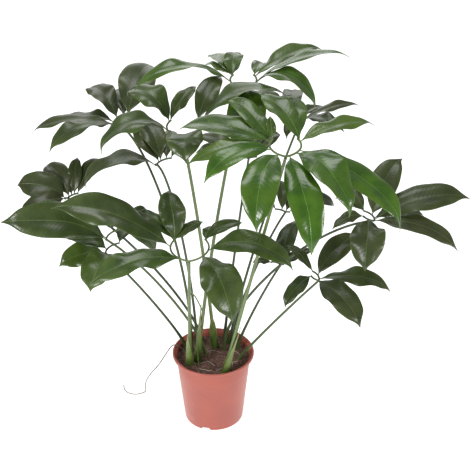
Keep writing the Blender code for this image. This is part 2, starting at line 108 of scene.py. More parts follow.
# adds nodes to one tree: their settings first, then the values or links of their sockets
class NodeMaker:
    def __init__(self, tree):
        self.tree = tree

    def node(self, kind, settings=None, values=None, output=0):
        made = self.tree.nodes.new(kind)
        for name, value in (settings or {}).items():
            setattr(made, name, value)
        for name, value in (values or {}).items():
            if isinstance(value, Wire):
                self.tree.links.new(value.socket, made.inputs[name])
            else:
                made.inputs[name].default_value = value
        return Wire(self, made.outputs[output]) if made.outputs else None

    # a mix of two colours by a number from 0 to 1
    def blend(self, share, first, second):
        first = first if isinstance(first, Wire) else (*first, 1.0)
        second = second if isinstance(second, Wire) else (*second, 1.0)
        return self.node("ShaderNodeMix", {"data_type": "RGBA"}, {0: share, 6: first, 7: second}, 2)

    def vectorSum(self, first, second):
        return self.node("ShaderNodeVectorMath", {"operation": "ADD"}, {0: first, 1: second})

    def scaled(self, vector, size):
        return self.node("ShaderNodeVectorMath", {"operation": "SCALE"}, {0: vector, 3: size})

    def part(self, vector, letter):
        return self.node("ShaderNodeSeparateXYZ", None, {0: vector}).out(letter)

    def place(self):
        return self.node("ShaderNodeTexCoord", None, None, 3)

    def pointValue(self, label):
        return self.node("ShaderNodeAttribute", {"attribute_name": label}, None, 2)

    def stretched(self, vector, scale):
        return self.node("ShaderNodeMapping", None, {"Vector": vector, "Scale": scale})

    def noise(self, vector, scale, detail):
        return self.node("ShaderNodeTexNoise", None, {"Vector": vector, "Scale": scale, "Detail": detail})

    def bump(self, strength, distance, height):
        values = {"Strength": strength, "Distance": distance, "Height": height}
        return self.node("ShaderNodeBump", None, values)

    # the rest are for geometry trees
    def above(self, value, limit):
        return self.node("FunctionNodeCompare", {"operation": "GREATER_THAN"}, {0: value, 1: limit})

    def named(self, label, kind="FLOAT"):
        return self.node("GeometryNodeInputNamedAttribute", {"data_type": kind}, {"Name": label})

    def stored(self, shape, label, value):
        return self.node("GeometryNodeStoreNamedAttribute", {"data_type": "FLOAT", "domain": "POINT"},
                         {"Geometry": shape, "Name": label, "Value": value})

    def ring(self, sides):
        return self.node("GeometryNodeCurvePrimitiveCircle", {"mode": "RADIUS"}, {"Resolution": sides})

    # a tube along each polyline of a guide mesh, as wide as its size says
    def tube(self, guide, ring, size=1.0):
        curve = self.node("GeometryNodeMeshToCurve", None, {"Mesh": guide})
        values = {"Curve": curve, "Profile Curve": ring, "Scale": size, "Fill Caps": True}
        return self.node("GeometryNodeCurveToMesh", None, values)

    # any vector from the lowest to the highest, a new one for each point
    def scatter(self, lowest, highest, seed):
        return self.node("FunctionNodeRandomValue", {"data_type": "FLOAT_VECTOR"},
                         {0: lowest, 1: highest, "Seed": seed})

    def painted(self, shape, material):
        return self.node("GeometryNodeSetMaterial", None, {"Geometry": shape, "Material": material})


# a Principled material whose sockets are filled by a function that gets its node maker
def newPaint(name, viewColour, fill):
    paint = bpy.data.materials.new(name)
    paint.use_nodes = True
    paint.diffuse_color = (*viewColour, 1.0)
    tree = paint.node_tree
    tree.nodes.clear()
    maker = NodeMaker(tree)
    shader = maker.node("ShaderNodeBsdfPrincipled")
    maker.node("ShaderNodeOutputMaterial", None, {"Surface": shader})
    sockets = shader.socket.node.inputs
    for socket, value in fill(maker).items():
        if isinstance(value, Wire):
            tree.links.new(value.socket, sockets[socket])
        else:
            sockets[socket].default_value = value
    return paint


socketKinds = {int: "NodeSocketInt", float: "NodeSocketFloat", tuple: "NodeSocketVector"}


# a geometry tree with one input for each named value, of that value's kind. The function build
# gets the tree's node maker and its inputs, and returns the last wire
def newGeometryTree(name, values, build):
    tree = bpy.data.node_groups.new(name, "GeometryNodeTree")
    tree.interface.new_socket("Geometry", in_out="OUTPUT", socket_type="NodeSocketGeometry")
    tree.interface.new_socket("Geometry", in_out="INPUT", socket_type="NodeSocketGeometry")
    for label, value in values.items():
        kind = socketKinds.get(type(value), "NodeSocketMaterial")
        tree.interface.new_socket(label, in_out="INPUT", socket_type=kind)
    maker = NodeMaker(tree)
    entry = tree.nodes.new("NodeGroupInput")
    wires = {label: Wire(maker, entry.outputs[label]) for label in ["Geometry", *values]}
    maker.node("NodeGroupOutput", None, {"Geometry": build(maker, wires)})
    return tree


# the mesh that an object's modifiers make of it, which are then removed
def meshAfter(start):
    bpy.context.view_layer.update()
    evaluated = start.evaluated_get(bpy.context.evaluated_depsgraph_get())
    mesh = bpy.data.meshes.new_from_object(evaluated)
    start.modifiers.clear()
    return mesh


# runs a geometry tree on an object and returns the result as a plain piece at the origin
def grown(name, start, tree, values):
    step = start.modifiers.new("grow", "NODES")
    step.node_group = tree
    for item in tree.interface.items_tree:
        if item.in_out == "INPUT" and item.name in values:
            step[item.identifier] = values[item.name]
    start.update_tag()
    mesh = meshAfter(start)
    bpy.data.objects.remove(start, do_unlink=True)
    mesh.name = name
    return newPiece(name, mesh)


def newPiece(name, mesh):
    piece = bpy.data.objects.new(name, mesh)
    bpy.context.scene.collection.objects.link(piece)
    return piece


def meshFrom(name, vertices, faces, edges=()):
    mesh = bpy.data.meshes.new(name)
    mesh.from_pydata([tuple(v) for v in vertices], list(edges), faces)
    mesh.update()
    return mesh


def pointValues(mesh, name, kind, values):
    layer = mesh.attributes.new(name, kind, "POINT")
    if kind == "FLOAT_VECTOR":
        layer.data.foreach_set("vector", [part for value in values for part in value])
    else:
        layer.data.foreach_set("value", values)


# turns a piece's faces outward and shades it smooth, but for edges sharper than some degrees
def smoothed(piece, sharp=None):
    work = bmesh.new()
    work.from_mesh(piece.data)
    bmesh.ops.recalc_face_normals(work, faces=work.faces)
    work.to_mesh(piece.data)
    work.free()
    piece.data.shade_smooth()
    if sharp is not None:
        piece.data.set_sharp_from_angle(angle=math.radians(sharp))


def placed(piece, slot, *nodes):
    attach(piece, "root")
    if nodes:
        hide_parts(*nodes)


def finished(piece, slot, *nodes):
    smoothed(piece)
    placed(piece, slot, *nodes)


# the sizes that the fronds share with the CAD model
pot = {
    "height": 0.200,
    "rimRadius": 0.105,
    "lipHeight": 0.008,
    "lipWidth": 0.005,
    "bodyTopRadius": 0.096,
    "baseRadius": 0.0765,
    "wall": 0.002,
    "floor": 0.003,
}

soil = {
    "height": 0.182,
    "relief": 0.0022,
    "fineShare": 0.6,
    "gap": 0.0004,
}

stalks = {
    "depth": 0.060,
    "stout": (0.0050, 0.0034),
    "slim": (0.0038, 0.0028),
    "sheathFlare": 1.25,
    "sheathRise": 0.006,
    "sides": 6,
    "rings": 11,
    "rise": 0.030,
    "handle": 0.9,
    "lowerLean": 0.33,
    "lowerLeanBend": -0.28,
    "lowerClimb": 0.33,
    "lowerClimbBend": 0.14,
    "upperLean": 0.67,
    "upperLeanBend": -0.10,
    "upperClimb": 0.67,
    "upperClimbBend": 0.28,
}

arch = {
    "radius": 0.033,
    "lift": 0.016,
    "tube": 0.0023,
    "limit": 125.0,
    "margin": 4.0,
    "step": 36.0,
}

blades = {
    "thickness": 0.0009,
    "stem": 0.05,
    "stemWidth": 0.0016,
    "tipWidth": 0.0009,
    "aspect": 0.155,
    "fold": 0.10,
    "rows": (0.0, 0.07, 0.22, 0.42, 0.64, 0.85, 1.0),
    "outer": 0.25,
    "rootPower": 0.85,
    "tipPower": 0.95,
    "lightHeading": -90.0,
    "rollLimit": 60.0,
    "clearance": 0.0014,
    "nudgeRise": 4,
    "nudgeHeading": 3,
    "nudgeSizes": 6,
}


# One leaflet: heading is where it points, rise its slope at the root, droop how far it bends down,
# sweep carries its tip sideways, face is how fully it rolls to the light, stand its place on the arch.
def leaf(heading, rise, droop, length, broad=1.0, sweep=0.0, face=1.0, stand=None):
    return dict(heading=heading, rise=rise, droop=droop, length=length,
                broad=broad, sweep=sweep, face=face, stand=stand)


# One frond: age goes from 0 for the oldest dark leaflets to 1 for the newest bright ones, pale is
# how light its stalk is, and sheath is how high a sheath clasps its foot and which way that opens.
def newFrond(foot, hub, facing, spread, bend, tilt, age, leaflets, pale=0.12, stout=False, sheath=None):
    return dict(foot=foot, hub=hub, facing=facing, spread=spread, bend=bend, tilt=tilt,
                age=age, leaflets=leaflets, pale=pale, stout=stout, sheath=sheath)


# Each frond stands at its foot in the soil and carries its leaflets round the arch at its hub.
# Headings, rise, droop, stand and tilt are degrees, headings from +X towards +Y. Places, lengths
# and sweeps are metres, and the rest are shares.
fronds = {
    "frond_front_right": newFrond(
        foot=(0.018, -0.050), hub=(0.160, -0.250, 0.860), facing=-90, spread=1.0, bend=0.0, tilt=18,
        age=1.0, pale=1.0, stout=True, sheath=(0.150, 170), leaflets=[
            leaf(-116, 12, 85, 0.210, 1.2, sweep=0.026), leaf(-77, 0, 80, 0.245, 0.9),
            leaf(-54, 20, 80, 0.215, 1.15), leaf(-31, 2, 55, 0.285, 0.8),
            leaf(20, 28, 45, 0.180, 0.9), leaf(101, 52, 60, 0.145, 1.4, stand=125),
            leaf(122, 45, 55, 0.170, stand=110), leaf(95, 60, 30, 0.055, 1.2, stand=-125),
            leaf(133, 42, 45, 0.155), leaf(160, 23, 45, 0.215, 1.15),
            leaf(-175, 13, 40, 0.185, 0.8), leaf(-150, 27, 80, 0.180, 1.1),
        ]),
    "frond_front_centre": newFrond(
        foot=(-0.062, -0.004), hub=(-0.045, -0.220, 0.595), facing=-90, spread=1.3, bend=0.0, tilt=20,
        age=0.46, pale=0.85, stout=True, sheath=(0.110, 60), leaflets=[
            leaf(-62, 6, 80, 0.185, 1.5, stand=45), leaf(-18, 42, 90, 0.225),
            leaf(38, 35, 60, 0.115), leaf(80, 35, 50, 0.055, 1.4),
            leaf(30, 40, 40, 0.083, 1.2, stand=-125), leaf(100, 75, 60, 0.130, 1.5),
            leaf(148, 55, 60, 0.120), leaf(178, 45, 50, 0.290, 0.95),
            leaf(-160, 20, 50, 0.220, 1.0, stand=-25),
        ]),
    "frond_top_left": newFrond(
        foot=(0.006, 0.050), hub=(-0.060, -0.060, 0.820), facing=-90, spread=1.15, bend=0.3, tilt=12,
        age=0.44, pale=0.9, stout=True, sheath=(0.090, 100), leaflets=[
            leaf(-86, 50, 115, 0.130, 2.0), leaf(2, 58, 95, 0.250, 1.1, face=0.5),
            leaf(62, 62, 60, 0.145, 1.2), leaf(50, 56, 45, 0.115, stand=-125),
            leaf(150, 75, 110, 0.155, 1.4), leaf(-150, 52, 115, 0.210),
        ]),
    "frond_top_centre": newFrond(
        foot=(-0.044, -0.016), hub=(0.075, 0.000, 0.912), facing=-90, spread=0.9, bend=0.35, tilt=4,
        age=0.86, pale=0.7, stout=True, sheath=(0.120, 20), leaflets=[
            leaf(-112, 25, 85, 0.160, 1.2), leaf(-78, 20, 80, 0.140, 1.2),
            leaf(-38, 45, 125, 0.200, 0.95), leaf(-12, 36, 45, 0.228, 0.7),
            leaf(28, 33, 40, 0.190), leaf(75, 22, 60, 0.120),
            leaf(88, 45, 60, 0.100, 1.5, stand=-125), leaf(115, 30, 60, 0.150, 0.8),
            leaf(132, 20, 40, 0.105, 0.9), leaf(-165, 45, 90, 0.250, 0.7),
        ]),
    "frond_far_left_top": newFrond(
        foot=(-0.058, 0.020), hub=(-0.238, 0.120, 0.780), facing=170, spread=0.8, bend=1.3, tilt=5,
        age=0.14, leaflets=[
            leaf(-148, 25, 70, 0.185), leaf(178, 14, 40, 0.210, 0.9), leaf(155, 12, 40, 0.175),
            leaf(128, 60, 95, 0.165, 1.2), leaf(95, 35, 60, 0.150), leaf(72, 60, 70, 0.195, 1.5),
        ]),
    "frond_left_dark": newFrond(
        foot=(-0.042, 0.028), hub=(-0.130, 0.050, 0.705), facing=150, spread=0.7, bend=1.0, tilt=5,
        age=0.06, leaflets=[
            leaf(-152, 45, 98, 0.215), leaf(142, 40, 60, 0.160, 1.2),
            leaf(118, 60, 70, 0.160, 1.2), leaf(85, 45, 60, 0.120), leaf(55, 40, 60, 0.110),
        ]),
    "frond_left_upper": newFrond(
        foot=(-0.012, 0.066), hub=(-0.355, 0.080, 0.600), facing=140, spread=0.6, bend=0.6, tilt=35,
        age=0.05, leaflets=[
            leaf(-150, 20, 60, 0.125, 1.5), leaf(170, 42, 60, 0.135, 1.8),
            leaf(128, 66, 95, 0.140, 1.3), leaf(108, 65, 70, 0.095), leaf(88, 60, 60, 0.108),
            leaf(62, 60, 60, 0.130),
        ]),
    "frond_left_mid": newFrond(
        foot=(-0.002, 0.012), hub=(-0.250, -0.040, 0.550), facing=180, spread=0.8, bend=0.5, tilt=42,
        age=0.36, pale=0.35, leaflets=[
            leaf(-172, 40, 50, 0.260, 1.1), leaf(168, 33, 50, 0.225), leaf(120, 25, 60, 0.140),
            leaf(60, 30, 50, 0.110), leaf(25, -18, 60, 0.120),
        ]),
    "frond_left_low": newFrond(
        foot=(-0.046, 0.046), hub=(-0.260, 0.000, 0.490), facing=180, spread=0.8, bend=0.25, tilt=30,
        age=0.46, leaflets=[
            leaf(-112, 22, 85, 0.130, 2.1), leaf(-158, 26, 60, 0.125, 1.6),
            leaf(180, 10, 60, 0.105), leaf(155, 30, 60, 0.135, 1.2), leaf(90, 10, 60, 0.130),
        ]),
    "frond_right": newFrond(
        foot=(0.022, 0.024), hub=(0.387, -0.020, 0.590), facing=-10, spread=0.5, bend=1.0, tilt=28,
        age=0.14, leaflets=[
            leaf(-148, 30, 70, 0.100), leaf(-97, 5, 80, 0.148, 1.8),
            leaf(-26, 22, 60, 0.220, 0.9, face=0.3), leaf(0, 40, 50, 0.240, 1.05),
            leaf(16, 20, 50, 0.140), leaf(44, 75, 50, 0.165, 1.4), leaf(125, 45, 60, 0.130),
            leaf(142, 30, 50, 0.090, 0.8),
        ]),
    "frond_right_low": newFrond(
        foot=(0.032, 0.004), hub=(0.256, -0.080, 0.460), facing=-20, spread=0.35, bend=0.1, tilt=25,
        age=0.12, pale=0.4, leaflets=[
            leaf(-138, 0, 60, 0.108, 1.2), leaf(-52, 10, 60, 0.170, 1.3),
            leaf(-2, 20, 60, 0.190, 0.9, face=0.4), leaf(40, 55, 55, 0.155, 1.2),
            leaf(137, 50, 50, 0.100, 0.8),
        ]),
    "frond_right_back_low": newFrond(
        foot=(0.046, 0.034), hub=(0.170, 0.020, 0.445), facing=60, spread=0.5, bend=0.3, tilt=15,
        age=0.08, leaflets=[
            leaf(35, 30, 50, 0.105), leaf(68, 60, 50, 0.135, 1.2), leaf(125, 50, 50, 0.062),
            leaf(-170, 30, 50, 0.050, 1.4),
        ]),
    "frond_right_back_mid": newFrond(
        foot=(0.036, 0.062), hub=(0.184, 0.130, 0.535), facing=60, spread=0.6, bend=0.5, tilt=15,
        age=0.08, leaflets=[
            leaf(22, 45, 100, 0.155, 1.2), leaf(60, 45, 60, 0.160), leaf(88, 60, 60, 0.100),
            leaf(145, 40, 60, 0.080),
        ]),
    "frond_back_right": newFrond(
        foot=(0.028, 0.048), hub=(0.220, 0.180, 0.770), facing=45, spread=0.8, bend=0.3, tilt=10,
        age=0.20, leaflets=[
            leaf(-110, 30, 80, 0.100), leaf(-38, 30, 60, 0.125), leaf(20, 25, 40, 0.160, 0.7),
            leaf(50, 20, 50, 0.120), leaf(90, 30, 60, 0.170), leaf(135, 35, 60, 0.160),
        ]),
    "frond_back_centre": newFrond(
        foot=(0.022, 0.072), hub=(0.090, 0.150, 0.675), facing=100, spread=0.8, bend=0.2, tilt=15,
        age=0.20, leaflets=[
            leaf(58, 40, 60, 0.130), leaf(80, 50, 60, 0.160), leaf(110, 50, 60, 0.150),
            leaf(145, 40, 60, 0.150), leaf(-155, 50, 60, 0.135),
        ]),
}


def towards(heading):
    angle = math.radians(heading)
    return Vector((math.cos(angle), math.sin(angle), 0.0))


# vertices and faces of a closed tube along points, its frame carried along without twist
def tubeShape(points, radii, sides):
    points = [Vector(p) for p in points]
    vertices = []
    previous = None
    for index, point in enumerate(points):
        before = points[max(index - 1, 0)]
        after = points[min(index + 1, len(points) - 1)]
        along = (after - before).normalized()
        if previous is None:
            previous = along.orthogonal()
        across = (previous - along * previous.dot(along)).normalized()
        beside = along.cross(across)
        previous = across
        for side in range(sides):
            angle = 2 * math.pi * side / sides
            offset = across * math.cos(angle) + beside * math.sin(angle)
            vertices.append(point + offset * radii[index])
    faces = []
    for ring in range(len(points) - 1):
        low = ring * sides
        high = low + sides
        for side in range(sides):
            after = (side + 1) % sides
            faces.append((low + side, low + after, high + after, high + side))
    faces.append(tuple(reversed(range(sides))))
    top = (len(points) - 1) * sides
    faces.append(tuple(range(top, top + sides)))
    return vertices, faces


# evenly spaced points on a smooth curve through the given ones
def smoothRoute(points, step, samples=24):
    points = [Vector(p) for p in points]
    ends = [points[0] * 2 - points[1]] + points + [points[-1] * 2 - points[-2]]
    dense = []
    for index in range(1, len(ends) - 2):
        a, b, c, d = ends[index - 1:index + 3]
        for sample in range(samples):
            t = sample / samples
            dense.append(0.5 * (b * 2 + (c - a) * t + (a * 2 - b * 5 + c * 4 - d) * t * t
                                + (b * 3 - a - c * 3 + d) * t ** 3))
    dense.append(points[-1])
    route = [dense[0]]
    travelled = 0.0
    for before, after in zip(dense, dense[1:]):
        travelled += (after - before).length
        if travelled >= step:
            route.append(after)
            travelled = 0.0
    if (route[-1] - dense[-1]).length > step / 2:
        route.append(dense[-1])
    return route


# points of a frond's stalk, straight through the soil and then curving over to its hub
def stalkRoute(frond):
    foot = Vector((*frond["foot"], soil["height"] - stalks["depth"]))
    hub = Vector(frond["hub"])
    span = hub - foot
    lean = Vector((span.x, span.y, 0.0))
    bend = frond["bend"]
    climb = Vector((0.0, 0.0, span.z))
    first, second = [
        foot + lean * (stalks[part + "Lean"] + stalks[part + "LeanBend"] * bend)
        + climb * (stalks[part + "Climb"] + stalks[part + "ClimbBend"] * bend)
        for part in ("lower", "upper")]
    ahead = (first - foot).normalized()
    start = foot + ahead * (stalks["depth"] + stalks["rise"])
    handle = start + ahead * (first - start).length * stalks["handle"]
    route = [foot, foot + ahead * (stalks["depth"] + stalks["sheathRise"]), start]
    for index in range(1, stalks["rings"]):
        t = index / (stalks["rings"] - 1)
        u = 1 - t
        route.append(start * u ** 3 + handle * 3 * u * u * t + second * 3 * u * t * t + hub * t ** 3)
    return route


# radii along a stalk: a wider sheath in the soil, then a slow taper to the hub
def stalkRadii(frond, route):
    low, high = stalks["stout"] if frond["stout"] else stalks["slim"]
    taper = (high - low) / (len(route) - 1)
    radii = [low + taper * index for index in range(len(route))]
    return [low * stalks["sheathFlare"]] * 2 + radii[2:]


def wrapped(angle):
    return (angle + 180) % 360 - 180


# a point on the U-shaped arch at a frond's hub, that many degrees round from its front
def archPoint(frond, turn):
    ahead = towards(frond["facing"])
    beside = towards(frond["facing"] + 90)
    angle = math.radians(turn)
    lift = Vector((0, 0, arch["lift"] * abs(turn) / arch["limit"]))
    radius = arch["radius"] * frond["spread"]
    around = beside * math.sin(angle) - ahead * (1 - math.cos(angle))
    return Vector(frond["hub"]) + around * radius + lift


# where on the arch a leaflet is rooted, in degrees from the arch's front
def leafTurn(frond, blade):
    if blade["stand"] is not None:
        return blade["stand"]
    turn = wrapped(blade["heading"] - frond["facing"])
    return max(-arch["limit"], min(arch["limit"], turn))


def leafRoot(frond, blade):
    return archPoint(frond, leafTurn(frond, blade))


# the first and last degree of an arch, a little beyond its outermost leaflets
def archSpan(frond):
    turns = [leafTurn(frond, blade) for blade in frond["leaflets"]]
    return min(min(turns), 0) - arch["margin"], max(max(turns), 0) + arch["margin"]


def archPoints(frond, count):
    low, high = archSpan(frond)
    return [archPoint(frond, low + (high - low) * index / count) for index in range(count + 1)]


def archShape(frond):
    low, high = archSpan(frond)
    points = archPoints(frond, max(2, math.ceil((high - low) / arch["step"])))
    return tubeShape(points, [arch["tube"]] * len(points), stalks["sides"])


# half the width of a leaflet at a share of its length, where 1 is the widest
def leafOutline(along):
    share = max(0.0, (along - blades["stem"]) / (1 - blades["stem"]))
    widest = blades["rootPower"] / (blades["rootPower"] + blades["tipPower"])
    fullest = widest ** blades["rootPower"] * (1 - widest) ** blades["tipPower"]
    return share ** blades["rootPower"] * (1 - share) ** blades["tipPower"] / fullest


# middle of the blade, the way across it and its upward normal, at a share of its length
def leafFrame(root, blade, tilt, along):
    rise = math.radians(blade["rise"])
    droop = math.radians(blade["droop"])
    length = blade["length"]
    ahead = towards(blade["heading"])
    beside = towards(blade["heading"] + 90)
    pitch = rise - droop * along
    reach = length * (math.sin(rise) - math.sin(pitch)) / droop
    height = length * (math.cos(pitch) - math.cos(rise)) / droop
    middle = root + ahead * reach + beside * blade["sweep"] * along ** 2 + Vector((0, 0, height))
    upright = Vector((0, 0, math.cos(pitch))) - ahead * math.sin(pitch)
    roll = leafRoll(blade, tilt)
    across = beside * math.cos(roll) + upright * math.sin(roll)
    normal = upright * math.cos(roll) - beside * math.sin(roll)
    return middle, across, normal


# how far the blade is rolled about its midrib towards the light, in radians
def leafRoll(blade, tilt):
    light = towards(blades["lightHeading"]) * math.sin(math.radians(tilt))
    light.z = math.cos(math.radians(tilt))
    beside = towards(blade["heading"] + 90)
    pitch = math.radians(blade["rise"] - blade["droop"] / 2)
    upright = Vector((0, 0, math.cos(pitch))) - towards(blade["heading"]) * math.sin(pitch)
    roll = math.degrees(math.atan2(-light.dot(beside), light.dot(upright)))
    return math.radians(max(-blades["rollLimit"], min(blades["rollLimit"], roll)) * blade["face"])


# vertices and triangles of one closed leaflet, both faces split alike. Spare swells it all round
def leafShape(frond, blade, rows=blades["rows"], spare=0.0):
    root = leafRoot(frond, blade)
    half = blades["thickness"] / 2 + spare
    widest = blades["aspect"] * blade["length"] * blade["broad"]
    upper, lower = [], []
    for along in rows:
        middle, across, normal = leafFrame(root, blade, frond["tilt"], along)
        narrowest = blades["stemWidth"] if along < 0.5 else blades["tipWidth"]
        width = max(narrowest, widest * leafOutline(along)) + spare
        for side in (-1, 0, 1):
            point = middle + across * width * side + normal * blades["fold"] * width * abs(side)
            upper.append(point + normal * half)
            lower.append(point - normal * half)
    count = len(upper)
    faces = []
    for row in range(len(rows) - 1):
        for column in range(2):
            a = row * 3 + column
            b, c, d = a + 1, a + 4, a + 3
            for p, q, r in ((a, d, b), (b, d, c)) if column else ((a, c, b), (a, d, c)):
                faces.append((p, q, r))
                faces.append((count + p, count + r, count + q))
        for a, b in ((row * 3 + 3, row * 3), (row * 3 + 2, row * 3 + 5)):
            faces.append((a, b, count + b))
            faces.append((a, count + b, count + a))
    end = (len(rows) - 1) * 3
    for a, b in ((0, 1), (1, 2), (end + 1, end), (end + 2, end + 1)):
        faces.append((a, b, count + b))
        faces.append((a, count + b, count + a))
    return upper + lower, faces


def touchTree(shape):
    return BVHTree.FromPolygons(shape[0], shape[1])


def outerRows():
    return [blades["outer"]] + [along for along in blades["rows"] if along > blades["outer"]]


# tilts each leaflet a little where it would cross what is already in place
def settleLeaflets():
    nudges = [(0, 0)]
    for size in range(1, blades["nudgeSizes"] + 1):
        for rise, heading in ((1, 0), (-1, 0), (0, 1), (0, -1), (1, 1), (-1, -1), (1, -1), (-1, 1)):
            nudges.append((blades["nudgeRise"] * size * rise, blades["nudgeHeading"] * size * heading))
    placed = {name: [] for name in fronds}
    for name, frond in fronds.items():
        route = stalkRoute(frond)
        placed[name].append(touchTree(tubeShape(route, stalkRadii(frond, route), stalks["sides"])))
        placed[name].append(touchTree(archShape(frond)))
    own = {name: [] for name in fronds}
    for name, frond in fronds.items():
        others = [tree for other, trees in placed.items() if other != name for tree in trees]
        for blade in frond["leaflets"]:
            wanted = (blade["rise"], blade["heading"])
            for rise, heading in nudges:
                blade["rise"] = wanted[0] + rise
                blade["heading"] = wanted[1] + heading
                whole = touchTree(leafShape(frond, blade, spare=blades["clearance"]))
                outer = touchTree(leafShape(frond, blade, outerRows(), blades["clearance"]))
                if any(whole.overlap(tree) for tree in others):
                    continue
                if any(outer.overlap(tree) for tree in own[name]):
                    continue
                break
            else:
                raise RuntimeError("a leaflet of %s has no free place" % name)
            placed[name].append(touchTree(leafShape(frond, blade)))
            own[name].append(touchTree(leafShape(frond, blade, outerRows())))


# what a fine frond has beyond the CAD one, in metres, degrees, counts and shares
fineFrond = {
    "rows": 34,
    "first row": 0.035,
    "row spacing": 0.9,
    "root width": 0.0013,
    "tip width": 0.0004,
    "drip": 0.55,
    "drip start": 0.80,
    "drip reach": 0.17,
    "twist": 24.0,
    "curl": 30.0,
    "least curl": 0.2,
    "hook": 0.16,
    "hook start": 0.82,
    "sway": 0.016,
    "rib": 0.0013,
    "rib sink": 0.0006,
    "rib end": 0.9,
    "rib taper": 0.85,
    "rib pale": (0.4, 0.5),
    "stalk step": 0.008,
    "foot swell": 0.34,
    "foot reach": 0.045,
    "arch step": 7,
    # painted shade: how much older and darker a leaflet is painted the further it points away from the
    # light
    "shaded": 0.34,
    "oddness": 0.06,
    "young from": 0.8,
}

# the form of its blades and stalks, under the names of the geometry tree's inputs
frondInputs = {
    "Blade Sides": 26,
    "Stalk Sides": 12,
    "Thickness": 0.0008,
    "Fold": 0.42,
    "Arch": 0.32,
    "Wave": 0.20,
    "Waves": 1.6,
    "Second Wave": 0.45,
    "Pucker": 0.0016,
    "Pucker Scale": 17.0,
}

# what each point of a guide line carries
guideKinds = {
    "isBlade": "FLOAT",
    "midrib": "FLOAT_VECTOR",
    "sideways": "FLOAT_VECTOR",
    "upwards": "FLOAT_VECTOR",
    "halfWidth": "FLOAT",
    "bladeAlong": "FLOAT",
    "bladeLength": "FLOAT",
    "bladeSeed": "FLOAT",
    "leafAge": "FLOAT",
    "tubeRadius": "FLOAT",
    "tubeAlong": "FLOAT",
    "palest": "FLOAT",
}


# collects polylines with a value for each point, and makes one guide mesh of them
class Guides:
    def __init__(self):
        self.points = []
        self.edges = []
        self.values = {name: [] for name in guideKinds}

    def add(self, points, **values):
        first = len(self.points)
        self.points += points
        self.edges += [(first + index, first + index + 1) for index in range(len(points) - 1)]
        for name, kind in guideKinds.items():
            given = values.get(name, 0.0 if kind == "FLOAT" else (0.0, 0.0, 0.0))
            self.values[name] += given if isinstance(given, list) else [given] * len(points)

    def finished(self):
        mesh = meshFrom("guide", self.points, [], self.edges)
        for name, kind in guideKinds.items():
            pointValues(mesh, name, kind, self.values[name])
        return newPiece("guide", mesh)


# the outline of a fine blade: the CAD outline with its end drawn out to a drip tip
def fineWidth(blade, along):
    width = blades["aspect"] * blade["length"] * blade["broad"] * leafOutline(along)
    start = min(1.0, max(0.0, (along - fineFrond["drip start"]) / fineFrond["drip reach"]))
    width *= 1 - fineFrond["drip"] * start * start * (3 - 2 * start)
    return max(fineFrond["root width"] * (1 - along), width, fineFrond["tip width"])


# guide lines for one leaflet: its blade, a little twisted and hooked, and the rib below it
def addBlade(guides, frond, blade, age, chance):
    root = leafRoot(frond, blade)
    seed = chance.random()
    twist = math.radians(fineFrond["twist"]) * chance.uniform(-1, 1)
    sway = fineFrond["sway"] * blade["length"] * chance.uniform(-1, 1)
    curl = math.radians(fineFrond["curl"]) * chance.uniform(fineFrond["least curl"], 1)
    rows = fineFrond["rows"]
    starts = fineFrond["first row"]
    points, sides, ups, halves, alongs = [], [], [], [], []
    for row in range(rows + 1):
        along = starts + (1 - starts) * (row / rows) ** fineFrond["row spacing"]
        middle, across, normal = leafFrame(root, blade, frond["tilt"], along)
        turn = twist * along ** 2
        side = across * math.cos(turn) + normal * math.sin(turn)
        up = normal * math.cos(turn) - across * math.sin(turn)
        tip = max(0.0, along - fineFrond["hook start"]) / (1 - fineFrond["hook start"])
        middle = middle - up * blade["length"] * fineFrond["hook"] * math.sin(curl) * tip * tip
        middle = middle + side * sway * math.sin(2 * math.pi * along)
        points.append(middle)
        sides.append(tuple(side))
        ups.append(tuple(up))
        halves.append(fineWidth(blade, along))
        alongs.append(along)
    guides.add(points, isBlade=1.0, midrib=[tuple(p) for p in points], sideways=sides, upwards=ups,
               halfWidth=halves, bladeAlong=alongs, bladeLength=blade["length"], bladeSeed=seed,
               leafAge=age)
    last = int(rows * fineFrond["rib end"])
    ribs = [point - Vector(up) * fineFrond["rib sink"] for point, up in zip(points, ups)][:last + 1]
    radii = [fineFrond["rib"] * (1 - fineFrond["rib taper"] * index / last) for index in range(last + 1)]
    # the rib is paler on young leaflets and, through the painted shade in their age, darker on leaflets
    # turned from the light
    palest = fineFrond["rib pale"][0] + fineFrond["rib pale"][1] * age
    guides.add([root] + ribs, tubeRadius=[fineFrond["rib"]] + radii, tubeAlong=1.0, palest=palest,
               leafAge=age, bladeSeed=seed)


# guide lines for a whole frond: its stalk, which swells at the foot, its arch and its leaflets
def frondGuides(name, frond):
    guides = Guides()
    chance = random.Random(name)
    coarse = stalkRoute(frond)
    radii = stalkRadii(frond, coarse)
    route = smoothRoute(coarse[1:], fineFrond["stalk step"])
    gone = [0.0]
    for before, after in zip(route, route[1:]):
        gone.append(gone[-1] + (after - before).length)
    thick = []
    for reach in gone:
        swell = 1 + fineFrond["foot swell"] * math.exp(-(reach / fineFrond["foot reach"]) ** 2)
        thick.append((radii[2] + (radii[-1] - radii[2]) * reach / gone[-1]) * swell)
    shares = [reach / gone[-1] for reach in gone]
    guides.add([coarse[0]] + route, tubeRadius=[thick[0]] + thick, tubeAlong=[0.0] + shares,
               palest=frond["pale"], leafAge=frond["age"])
    low, high = archSpan(frond)
    bow = archPoints(frond, max(6, int((high - low) / fineFrond["arch step"])))
    guides.add(bow, tubeRadius=arch["tube"], tubeAlong=1.0, palest=frond["pale"], leafAge=frond["age"])
    for blade in frond["leaflets"]:
        # painted shade: a leaflet that points away from the light gets a lower age, so it is painted
        # darker, as if in shade
        turned = (1 - math.cos(math.radians(blade["heading"] - blades["lightHeading"]))) / 2
        age = frond["age"] * (1 - fineFrond["shaded"] * turned)
        age += chance.uniform(-fineFrond["oddness"], fineFrond["oddness"])
        addBlade(guides, frond, blade, min(1.0, max(0.0, age)), chance)
    return guides.finished()


